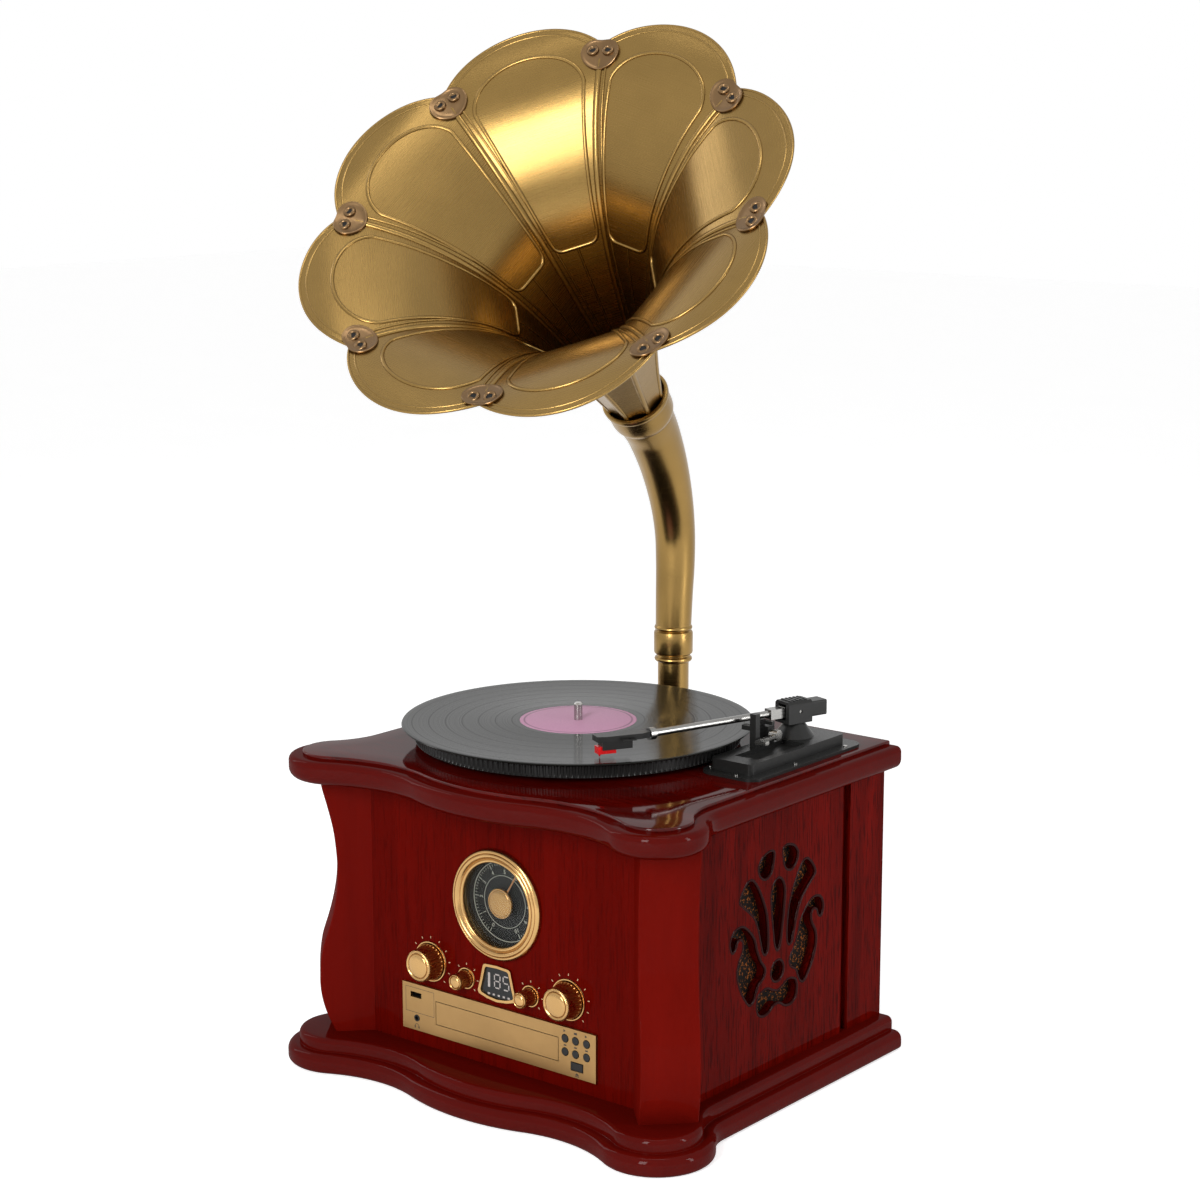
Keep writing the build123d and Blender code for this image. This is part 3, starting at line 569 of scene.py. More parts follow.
def finish_named(name):
    """The material of that name, made once. A maker is followed by its values in order."""
    if name in FINISHES:
        return FINISHES[name]
    scene = bpy.context.scene
    brass, copper = scene.player_horn.brass, scene.player_horn.copper
    stain, moulding = scene.player_cabinet.lacquer, scene.player_cabinet.moulding
    gold, grip = scene.player_cabinet.gold, scene.player_cabinet.knob
    makers = {
        "brass": (brushed, "brushed_brass", brass),
        "brass_neck": (brushed, "neck_brass", shade(brass, 1.05), 0.25),
        "brass_plain": (plain_metal, "bracket_brass", brass, 0.28),
        "copper": (plain_metal, "tie_plate_copper", copper, 0.30),
        "panel": (lacquer, "panel_lacquer", stain, 2, 0.5, 0.025),
        "side": (lacquer, "side_oak", shade(stain, 1.05), 2, 1.2, 0.06),
        "veneer": (lacquer, "top_veneer", shade(stain, 0.72), 0, 1.0, 0.42),
        "moulding": (lacquer, "moulding_lacquer", shade(moulding, 1.12), 0, 0.12, 0.13),
        "post": (lacquer, "post_lacquer", shade(moulding, 1.75), 2, 0.12, 0.03),
        # Grille lips: the moulding lacquer darkened to three tenths, painted shade along the edges of the
        # openings
        "lip": (lacquer, "lip_lacquer", shade(moulding, 0.3), 2, 0.0, 0.16),
        "gold": (plain_metal, "satin_gold", gold, 0.36),
        "bright_gold": (plain_metal, "bright_gold", shade(gold, 1.35), 0.2),
        "knob_gold": (plain_metal, "fluted_gold", grip, 0.28),
        "black": (plastic, "black_plastic", (0.011, 0.011, 0.0105), 0.34),
        # A flat near-black finish for the discs in the eyelet holes: painted shade inside the holes
        "dark": (plastic, "dark_recess", (0.006, 0.006, 0.006), 0.6),
        "dial_black": (plastic, "dial_black", (0.010, 0.012, 0.011), 0.45, 0.0),
        "rubber": (plastic, "mat_rubber", (0.014, 0.014, 0.014), 0.62, 0.00006),
        "steel": (plain_metal, "steel", (0.42, 0.41, 0.39), 0.24),
        "silver": (plain_metal, "arm_silver", (0.26, 0.255, 0.245), 0.22),
        "red": (plastic, "stylus_red", (0.62, 0.006, 0.008), 0.22),
        "cloth": (grille_cloth, "grille_cloth"),
        "vinyl": (vinyl, "record_vinyl"),
        "label": (paper_label, "record_label", scene.player_turntable.label),
        "glass": (clear_glass, "dial_glass"),
        "ivory": (printed, "ivory_print", (0.55, 0.57, 0.47)),
        "cream": (printed, "cream_print", (0.62, 0.42, 0.25)),
        "ink": (printed, "dark_print", (0.03, 0.022, 0.015)),
        "amber": (printed, "pointer_amber", (0.52, 0.24, 0.08), 0.35),
        "display": (plastic, "display_pane", (0.010, 0.011, 0.011), 0.1, 0.0),
        "segment": (printed, "display_digit", (0.42, 0.38, 0.36), 0.3),
        "board": (plastic, "circuit_board", (0.02, 0.10, 0.04), 0.4),
    }
    maker, *values = makers[name]
    FINISHES[name] = maker(*values)
    return FINISHES[name]


# Cabinet

HOLLOW = (238.3, -105.7, 40.0)
EAR = (172.0, -162.0, 47.0)
DIP = (98.0, -305.0, 114.0)
BULGE = (0.0, -13.0, 194.0)
REAR = 153.0
SIDE = 198.3


def heading(a, b):
    """Direction from one centre to another, in radians."""
    return math.atan2(b[1] - a[1], b[0] - a[0])


def board_outline(inset):
    """The serpentine outline at an inset: parallel arcs about fixed centres, mirrored and closed behind."""
    def piece(centre, radius, start, end, count):
        a = np.linspace(start, end, count, endpoint=False)
        return np.stack([centre[0] + radius * np.cos(a), centre[1] + radius * np.sin(a)], 1)

    line = np.stack([np.full(14, SIDE - inset), np.linspace(REAR, HOLLOW[1], 14, endpoint=False)], 1)
    hollow = piece(HOLLOW, HOLLOW[2] + inset, math.pi, 2 * math.pi + heading(HOLLOW, EAR), 16)
    ear = piece(EAR, EAR[2] - inset, heading(EAR, HOLLOW), heading(EAR, DIP), 56)
    dip = piece(DIP, DIP[2] + inset, heading(DIP, EAR), heading(DIP, BULGE), 32)
    bulge = piece(BULGE, BULGE[2] - inset, heading(BULGE, DIP), -math.pi / 2, 28)
    right = np.concatenate([line, hollow, ear, dip, bulge])
    tip = np.array([[0.0, BULGE[1] - BULGE[2] + inset]])
    return np.concatenate([right, tip, right[::-1] * (-1, 1)])


def board(name, profile, finish, *stands_for):
    """A board whose edge profile (inset, height) follows the serpentine outline; flat caps close it."""
    edges = [np.insert(board_outline(inset), 2, z, axis=1) for inset, z in profile]
    shape = Shape()
    shape.grid(np.stack(edges), wrap_cols=True, caps=True)
    shape.build(name, "cabinet", finish, *stands_for, crease=32.0)


POST_FACE = [(251.7, 18.6), (242.9, 17.1), (225.2, 12.5), (207.5, 8.6), (189.9, 6.5), (172.2, 5.6),
             (154.5, 6.3), (136.8, 9.2), (119.2, 13.8), (101.5, 19.3), (83.7, 21.8), (70.2, 22.1),
             (56.6, 20.3), (42.9, 16.3), (28, 9.6)]


def corner_post(name, side):
    """A slab across the corner: the outer face follows a smooth S, the long edges are quarter rounds."""
    half, back, soft = 23.9, -38.0, 1.6
    turn = np.radians(np.linspace(0, 90, 6))
    z, face = smooth_curve(POST_FACE, 90).T[:, :, None]
    edge = half - soft + soft * np.cos(turn)
    across = np.concatenate([[half], edge, -edge[::-1], [-half]])
    depth = face - soft + soft * np.sin(turn)
    rear = np.full_like(z, back)
    depth = np.concatenate([rear, depth, depth[:, ::-1], rear], 1)
    ring = np.stack(np.broadcast_arrays(across, depth, z), -1)
    axes = np.array([[side, 1.0, 0.0], [side, -1.0, 0.0]]) / math.sqrt(2)
    shape = Shape()
    shape.grid(placed(ring, (side * SIDE_X, FRONT, 0.0), *axes, (0, 0, 1)), wrap_cols=True, caps=True)
    shape.build(name, "cabinet", "post", name)


def grille_edges(name, side):
    """Rounded lips along every opening of the pierced side panel."""
    lip_x, lip = SIDE_X - 0.95, 1.45
    shape = Shape()
    loops = [TEAR, PETAL, HOOK]
    loops += [[(-y, z) for y, z in loop] for loop in loops] + [SPEAR, BOW]
    eye_height, eye_radius = 110, 9.4
    loops.append(arc(0, eye_height, eye_radius, 0, 330, 12))
    for loop in loops:
        path = evenly_closed(smooth_curve(loop, 160, closed=True), 120)
        line = np.insert(path + (GRILLE_Y, 0), 0, side * lip_x, axis=1)
        sweep(shape, line, np.array([1.0, 0.0, 0.0]), oval(2 * lip, lip), closed=True)
    # The lips' darkened lacquer is painted shade along the openings
    shape.build(name, "cabinet", "lip", crease=60.0)


def evenly_closed(points, count):
    """A closed polyline sampled at equal distances."""
    ring = np.vstack([points, points[:1]])
    return evenly(ring, count + 1)[:-1]


class PLAYER_OT_cabinet(Operator):
    """Builds the mouldings, boards and posts and finishes the panels"""

    bl_idname = "player.cabinet"
    bl_label = "Cabinet"

    def execute(self, context):
        lower = arc(4.5, 4.5, 4.5, 270, 180)
        upper = arc(7.0, 9.5, 7.0, 180, 90)
        ledge = arc(15.0, 23.0, 5.0, 180, 90)
        base = np.vstack([[(20.0, 0.0)], lower, upper, [(9.8, 16.5), (10.0, 16.7)], ledge, [(30.0, 28.0)]])
        board("plinth_mouldings", base, "moulding", "base_plinth", "bottom_board")
        under = arc(15.3, 260.7, 9.0, 270, 180)
        over = arc(11.3, 266.7, 5.0, 180, 90)
        rolled = np.vstack([[(40.0, 251.7)], under, over, [(30.0, 271.7)]])
        board("top_moulding", rolled, "moulding", "top_board")
        lip = arc(19.8, 273.5, 1.5, 180, 90)
        board("top_panel", np.vstack([[(25.0, 271.5), (18.3, 271.5)], lip, [(40.0, 275.0)]]), "veneer")
        for hand, side in (("right", 1.0), ("left", -1.0)):
            corner_post(f"corner_post_{hand}", side)
        for hand, side in (("right", 1.0), ("left", -1.0)):
            grille_edges(f"grille_lips_{hand}", side)
        dress("panel", "front_panel")
        dress("side", "side_panel_right", "side_panel_left", "rear_panel")
        dress("cloth", "grille_cloths")
        dress("black", "speakers", "rear_connections")
        dress("steel", "cabinet_screws", "power_transformer", "cd_drive", "platter_motor")
        dress("board", "control_board")
        return {"FINISHED"}


def dress(finish, *names):
    """Gives CAD nodes a finish."""
    for name in names:
        mesh = NODES[name].data
        mesh.materials.clear()
        mesh.materials.append(finish_named(finish))


# Front

# Axes of a form that stands out of the front: right, up, then towards the listener
OUTWARD = ((1, 0, 0), (0, 0, 1), (0, -1, 0))


def on_front(points):
    """Front-panel points (x, z, out) in the row frame."""
    return placed(points, (0.0, FRONT, 0.0), *OUTWARD)


def clock(x, z, r, turn):
    """A point on the front round a centre, at a clock hand's angle in degrees."""
    a = math.radians(turn)
    return x + r * math.sin(a), z + r * math.cos(a)


def dome(r, base, height, start):
    """A cap's outline: a flattened quarter circle from a start angle in degrees up to the axis."""
    line = [(r * math.cos(a), base + height * math.sin(a)) for a in np.radians(np.linspace(start, 90, 12))]
    return line[:-1] + [(0.0, base + height)]


def knob(body, x, z, skirt, face, length, flutes, depth):
    """A turned knob: fluted grip, serrated front ring, groove and domed cap."""
    name = body + "_knob"
    tip, serration = length - 3.7, 0.018
    side = evenly(np.array([(skirt * 0.6, 1.6), (skirt, 1.6), (skirt, 2.6), (skirt * 0.985, 4.0),
                            (face * 1.07, tip - 0.9), (face * 1.05, tip - 0.3), (face * 1.05, tip)]), 40)

    def fluted(turn, profile):
        r, out = profile[..., 0], profile[..., 1]
        inside = (out > 2.4) & (out < length - 4.2) & (r > face * 0.8)
        return 1 - np.where(inside, depth * (1 - np.abs(np.sin(turn * flutes / 2)) ** 0.7), 0.0)

    def serrated(turn, profile):
        edge = profile[..., 0] > face * 1.01
        return 1 - np.where(edge, serration * (0.5 + 0.5 * np.cos(turn * flutes * 2)), 0.0)

    place = ((x, FRONT, z), *OUTWARD)
    grip = Shape()
    side = np.vstack([(0.0, 1.6), side, (0.0, tip)])
    lathe(grip, side, *place, count=flutes * 8, wave=fluted, closed=False)
    grip.build(name + "_grip", body, "knob_gold", name, crease=50.0)
    cap = Shape()
    rim = [(0.7, -3.9), (1.06, -3.9), (1.09, -3.3), (1.09, -2.2), (1.03, -1.2), (0.95, -0.8), (0.88, -1.1),
           (0.83, -2), (0.7, -2)]
    lathe(cap, [(face * r, length + out) for r, out in rim], *place, count=flutes * 16, wave=serrated)
    r = face * 0.82
    plug = [(0.0, length - 3.0), (r, length - 3.0), (r, length - 1.7)] + dome(r, length - 1.7, 1.9, 12)
    lathe(cap, plug, *place, closed=False)
    cap.build(name + "_cap", body, "bright_gold")


def knob_ring(shape, x, z, outer):
    """The flat escutcheon behind a knob, with a raised bright edge."""
    inner = outer * 0.45
    ring = [(inner, 0.05), (outer, 0.05), (outer + 0.4, 0.5), (outer, 1.25), (outer - 0.8, 1.35),
            (outer - 1.4, 0.9), (outer - 2.0, 0.8), (inner, 0.8)]
    lathe(shape, ring, (x, FRONT, z), *OUTWARD)


def text_piece(name, words, size, centre, turn, out, body, finish):
    """Plain characters as a thin raised mesh on the front; their place is in the mesh."""
    curve = bpy.data.curves.new(name, "FONT")
    curve.body = words
    curve.size = size * MM
    curve.align_x = "CENTER"
    curve.align_y = "CENTER"
    curve.extrude = 0.06 * MM
    curve.resolution_u = 3
    source = bpy.data.objects.new(name + "_source", curve)
    bpy.context.scene.collection.objects.link(source)
    bpy.context.view_layer.update()
    mesh = bpy.data.meshes.new_from_object(source.evaluated_get(bpy.context.evaluated_depsgraph_get()))
    flat = np.empty(len(mesh.vertices) * 3)
    mesh.vertices.foreach_get("co", flat)
    p = flat.reshape(-1, 3) / MM
    c, s = math.cos(turn), math.sin(turn)
    x = p[:, 0] * c - p[:, 1] * s + centre[0]
    z = p[:, 0] * s + p[:, 1] * c + centre[1]
    world = on_front(np.column_stack([x, z, p[:, 2] + out])) * MM
    mesh.vertices.foreach_set("co", world.ravel())
    mesh.name = name
    bpy.data.objects.remove(source)
    piece = bpy.data.objects.new(name, mesh)
    bpy.context.scene.collection.objects.link(piece)
    mesh.materials.clear()
    mesh.materials.append(finish_named(finish))
    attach(piece, body)


def polygon(shape, outline, out, lift):
    """A flat raised mark on the front with softened edges, from its outline (x, z)."""
    o = np.asarray(outline, float)
    edge = min(0.1, lift / 3)
    inward = unit(o.mean(0) - o) * edge
    top = out + lift
    rows = [(o, out), (o, top - edge), (o + inward, top)]
    grid = np.stack([on_front(np.column_stack([p, np.full(len(p), z)])) for p, z in rows])
    shape.grid(grid, wrap_cols=True, caps=True)


def bar(shape, start, end, width, out, lift):
    """A straight printed or raised stroke on the front between two points (x, z)."""
    a, b = np.asarray(start, float), np.asarray(end, float)
    d = unit(b - a)
    n = np.array([-d[1], d[0]]) * width / 2
    polygon(shape, [a - n, b - n, b + n, a + n], out, lift)


class PLAYER_OT_dial(Operator):
    """Builds the dial: ridged bezel, scale, pointer and domed hub"""

    bl_idname = "player.dial"
    bl_label = "Dial"

    def execute(self, context):
        place = ((0.0, FRONT, DIAL_Z), *OUTWARD)
        ridge = [(35.5, 1), (35.5, 2.2), (36.2, 3.6), (37.4, 4.1), (38.4, 3.6), (38.9, 3), (39.4, 3.5),
                 (40.6, 5), (42, 5.6), (43.2, 5), (43.7, 4.3), (44.2, 4.8), (45.6, 4.4), (46.9, 3),
                 (47.5, 1.2)]
        behind = [(47.5, 0), (40.8, 0), (40.8, -9), (38.6, -9), (38.6, 1)]
        bezel = Shape()
        lathe(bezel, np.vstack([smooth_curve(ridge, 75), behind]), *place, count=160)
        bezel.build("dial_rings", "cabinet", "bright_gold", "dial_bezel")
        scale = Shape()
        face, mark_end, number_radius, number_size = -8.95, 32.6, 25.4, 5.0
        for turn in np.linspace(-150, 150, 61):
            long = abs(turn % 30) < 0.1
            start = clock(0, DIAL_Z, 28.6 if long else 30.4, turn)
            bar(scale, start, clock(0, DIAL_Z, mark_end, turn), 0.55 if long else 0.32, face, 0.2)
        for r, w in ((33.4, 0.6), (22.0, 0.35)):
            ring = [(r, face), (r + w, face), (r + w, face + 0.25), (r, face + 0.25)]
            lathe(scale, ring, *place, count=120)
        scale.build("dial_scale", "cabinet", "ivory")
        for index, turn in enumerate(range(-150, 151, 30)):
            text_piece(f"dial_number_{index}", str(index), number_size, clock(0, DIAL_Z, number_radius, turn),
                       -math.radians(turn), face + 0.1, "cabinet", "ivory")
        hub = Shape()
        rim = [(0, -5.2), (12.4, -5.2), (13, -4.6), (13, -3.2), (12.5, -2.4), (11.8, -2.2), (11.2, -2.4)]
        lathe(hub, rim + dome(11.2, -2.4, 1.5, 8), *place, closed=False)
        hub.build("dial_hub", "dial_pointer", "bright_gold", "dial_needle")
        hand = Shape()
        turn = 31.5
        bar(hand, clock(0, DIAL_Z, 10, turn), clock(0, DIAL_Z, 34, turn), 1.1, -5.1, 0.8)
        hand.build("dial_hand", "dial_pointer", "amber")
        dress("dial_black", "dial_face")
        dress("glass", "dial_lens")
        return {"FINISHED"}


FASCIA = 3.0
MARKS_ABOVE = 83.5
DIGITS = {"8": "abcdefg", "5": "afgcd"}


def digit(shape, name, x, z, height, out):
    """A seven-segment figure: upright and level strokes, each a little short of its corners."""
    w, h, gap = height * 0.26, height / 2, 0.8
    level = {"a": h, "g": 0, "d": -h}
    upright = {"f": (-w, h), "b": (w, h), "e": (-w, 0), "c": (w, 0)}
    for part in DIGITS[name]:
        if part in level:
            start, end = (x - w + gap, z + level[part]), (x + w - gap, z + level[part])
        else:
            dx, top = upright[part]
            start, end = (x + dx, z + top - gap), (x + dx, z + top - h + gap)
        bar(shape, start, end, 1.1, out, 0.15)


class PLAYER_OT_controls(Operator):
    """Builds the knobs, rings, display, disc unit and buttons"""

    bl_idname = "player.controls"
    bl_label = "Controls"

    def execute(self, context):
        flutes = context.scene.player_cabinet.flutes
        rings, marks = Shape(), Shape()
        for body, (x, z) in KNOBS.items():
            large = body in ("volume", "tuning")
            if large:
                knob(body, x, z, 15.2, 12.6, 18.2, flutes, 0.075)
            else:
                knob(body, x, z, 7.4, 6.2, 16.2, flutes - 6, 0.09)
            knob_ring(rings, x, z, 17.2 if large else 9.0)
            reach = 20.2 if large else 11.4
            for turn in np.linspace(-135, 135, 11 if large else 7):
                end = clock(x, z, reach + 1.8, turn)
                if end[1] > MARKS_ABOVE:
                    bar(marks, clock(x, z, reach, turn), end, 0.7, 0.0, 0.12)
        rings.build("knob_escutcheons", "cabinet", "bright_gold", "knob_rings")
        dress("bright_gold", "display_frame")
        dress("display", "display_window")
        pane, figure_z, figure_height, stroke_z, stroke_step = 0.8, 103.0, 11.5, 90.9, 5.4
        figures = Shape()
        for figure, x in (("8", -0.5), ("5", 9.0)):
            digit(figures, figure, x, figure_z, figure_height, pane)
        bar(figures, (-9.5, 109.0), (-9.5, 96.5), 2.4, pane, 0.1)
        for step in stroke_step * np.arange(5):
            bar(figures, (-11.0 + step, stroke_z), (-8.6 + step, stroke_z), 1.6, pane, 0.1)
        figures.build("display_figures", "cabinet", "segment")
        dress("gold", "cd_fascia", "cd_tray")
        dress("black", "button_eject", "usb_port", "headphone_jack", *[f"button_{k}" for k in range(1, 7)])
        self.fascia_marks()
        marks.build("knob_marks", "cabinet", "cream")
        return {"FINISHED"}

    def fascia_marks(self):
        """A frame round the sockets, a mark over each button, and signs for the headphones and the tray."""
        lines, ink = Shape(), 0.12
        left, right, low, high = -101.8, -69.7, 56.3, 78.0
        corners = [(left, high), (right, high), (right, low), (left, low)]
        for a, b in zip(corners, corners[1:] + corners[:1]):
            bar(lines, a, b, 0.35, FASCIA - 0.08, ink)
        out = FASCIA - 0.05
        for k, x in enumerate((73.6, 84.5, 96.0)):
            arrow = [(x - 1.6, 77.0), (x + 0.6, 78.2), (x - 1.6, 79.4)]
            block = [(x - 1.6, 77.2), (x + 1.6, 77.2), (x + 1.6, 79.0), (x - 1.6, 79.0)]
            polygon(lines, block if k == 1 else arrow, out, ink)
            polygon(lines, [(x - 1.4, 65.6), (x + 1.4, 65.6), (x + 1.4, 66.8), (x - 1.4, 66.8)], out, ink)
        polygon(lines, [(83.8, 43.0), (88.2, 43.0), (86.0, 45.2)], out, ink)
        bar(lines, (83.8, 42.2), (88.2, 42.2), 0.6, out, ink)
        band = arc(-89.4, 44.2, 2.2, 0, 180, 9)
        for a, b in zip(band, band[1:]):
            bar(lines, a, b, 0.5, out, ink)
        for x in (-91.6, -87.2):
            bar(lines, (x, 44.4), (x, 42.6), 1.2, out, ink)
        lines.build("fascia_marks", "cabinet", "ink")


# Turntable

PLATTER_R = 139.5


class PLAYER_OT_turntable(Operator):
    """Builds the ribbed platter, mat, record with its label, and finishes the tonearm"""

    bl_idname = "player.turntable"
    bl_label = "Turntable"

    def execute(self, context):
        s = context.scene.player_turntable
        place = ((*SPINDLE, 0.0), *UPRIGHT)
        band = [(PLATTER_R, z) for z in (280.6, 283, 286, 288.4, 289.2)]
        rim = [(20, 286), (134, 286), (135.5, 285), (136, 279.4), (138.6, 279), (139.4, 279.6), *band,
               (138.9, 290), (20, 290)]

        def ribbed(turn, profile):
            r, z = profile[..., 0], profile[..., 1]
            ribs = (r > PLATTER_R - 0.3) & (z > 280.0) & (z < 289.0)
            wave = 0.5 + 0.5 * np.tanh(4.0 * np.cos(turn * s.ribs))
            return 1 - np.where(ribs, s.rib_depth / PLATTER_R * wave, 0.0)

        platter, record, paper = Shape(), Shape(), Shape()
        lathe(platter, rim, *place, count=s.ribs * 8, wave=ribbed)
        platter.build("platter_rim", "platter", "black", "platter", crease=30.0)
        dress("rubber", "platter_mat")
        disc = [(3.65, 292), (148, 292), (150.2, 292.4), (151, 293.1), (150.4, 293.8), (149, 294),
                (146.5, 293.85), (62, 293.85), (60.5, 293.95), (50.2, 293.95), (50, 293.8), (3.65, 293.8)]
        lathe(record, disc, *place, count=256)
        record.build("record_disc", "platter", "vinyl", "vinyl_record", crease=30.0)
        label = [(3.7, 293.7), (49.9, 293.7), (50, 293.95), (49.7, 294.05), (3.7, 294.05)]
        lathe(paper, label, *place, count=160)
        paper.build("record_label", "platter", "label", crease=30.0)
        dress("steel", "spindle", "cue_lever")
        dress("black", "tonearm_base", "arm_rest", "cue_lift", "arm_turret", "counterweight", "cartridge",
              "headshell")
        dress("silver", "arm_tube")
        dress("red", "stylus")
        return {"FINISHED"}


# Horn


def headings(turn):
    """Two level unit vectors: the mouth's heading, turned from the front, and the one to its side."""
    return np.array([math.sin(turn), -math.cos(turn), 0.0]), np.array([math.cos(turn), math.sin(turn), 0.0])


def horn_axes(tilt, turn):
    """The horn's own axes: X along the first seam, Z out of the mouth."""
    ahead, level = headings(turn)
    mouth = ahead * math.cos(tilt) + (0, 0, math.sin(tilt))
    seam = level * math.cos(SEAM_PHASE) + np.cross(mouth, level) * math.sin(SEAM_PHASE)
    return seam, np.cross(mouth, seam), mouth


def spun(points, turn):
    """Points turned about the horn's axis."""
    x, y, z = np.moveaxis(points, -1, 0)
    c, s = math.cos(turn), math.sin(turn)
    return np.stack([x * c - y * s, x * s + y * c, z], -1)


class Flare:
    """The bell's profile: apothem and depth as smooth functions of the distance along the sheet."""

    def __init__(self, tip, axes):
        curve = evenly(smooth_curve(FLARE, 400), 600)
        slope = unit(np.gradient(curve, axis=0))
        self.axes = axes
        self.far = lengths(curve)
        self.r, self.s = curve.T
        self.nr, self.ns = -slope[:, 1], slope[:, 0]
        half = NOTCH_R * math.sin(HALF)
        rise = tip - NOTCH_R * math.cos(HALF)
        self.arc_r = (half ** 2 + rise ** 2) / (2 * rise)
        self.arc_x = tip - self.arc_r

    def edge(self, theta):
        """Apothem at which a petal's scallop, a circular arc, crosses the direction theta."""
        k = 1 + np.tan(theta) ** 2
        return (self.arc_x + np.sqrt(self.arc_x ** 2 - k * (self.arc_x ** 2 - self.arc_r ** 2))) / k

    def distance(self, r):
        """Distance along the sheet at an apothem, read off the profile."""
        return np.interp(r, self.r, self.far)

    def at(self, far, theta, off=0.0):
        """A point on a petal: along the sheet, flat across, lifted off it towards the mouth side."""
        r = np.interp(far, self.far, self.r) + off * np.interp(far, self.far, self.nr)
        s = np.interp(far, self.far, self.s) + off * np.interp(far, self.far, self.ns)
        return np.stack(np.broadcast_arrays(r, r * np.tan(theta), s), -1)

    def normal(self, far):
        """Direction off the sheet at a distance, read off the profile."""
        nr = np.interp(far, self.far, self.nr)
        return np.stack([nr, np.zeros_like(nr), np.interp(far, self.far, self.ns)], -1)

    def front(self, x, y):
        """Depth of the bell's front at a point near a seam that lies along X."""
        return np.interp(x * math.cos(HALF) + np.abs(y) * math.sin(HALF), self.r, self.s)

    def carry(self, points, turn):
        """Points of one petal or seam turned to their place and carried into the row frame."""
        return placed(spun(points, turn), MOUTH, *self.axes)

    def aim(self, directions, turn):
        """Directions of one petal or seam turned to their place, in the row frame."""
        return placed(spun(directions, turn), (0, 0, 0), *self.axes)


def bead_path(flare):
    """The pressed line on a petal, as (distance, across): round on top, with a square end."""
    top_r, shoulder_r, end_r, share, corner = 182.0, 148.0, 60.0, 0.79, 9.0

    def across(r):
        return r * math.tan(HALF) * share

    high, shoulder, end = (flare.distance(r) for r in (top_r, shoulder_r, end_r))
    a = np.linspace(-math.pi / 2, math.pi / 2, 60)
    top = np.stack([shoulder + (high - shoulder) * np.cos(a), across(shoulder_r) * np.sin(a)], 1)
    r = np.linspace(shoulder_r, end_r + 4, 70)[1:]
    b = np.linspace(0, math.pi / 2, 10)
    curl = [end + corner - corner * np.sin(b), across(end_r) - corner + corner * np.cos(b) + 0.8]
    half = np.hstack([[flare.distance(r), across(r)], curl]).T
    return np.vstack([top, half, half[::-1] * (1, -1)])


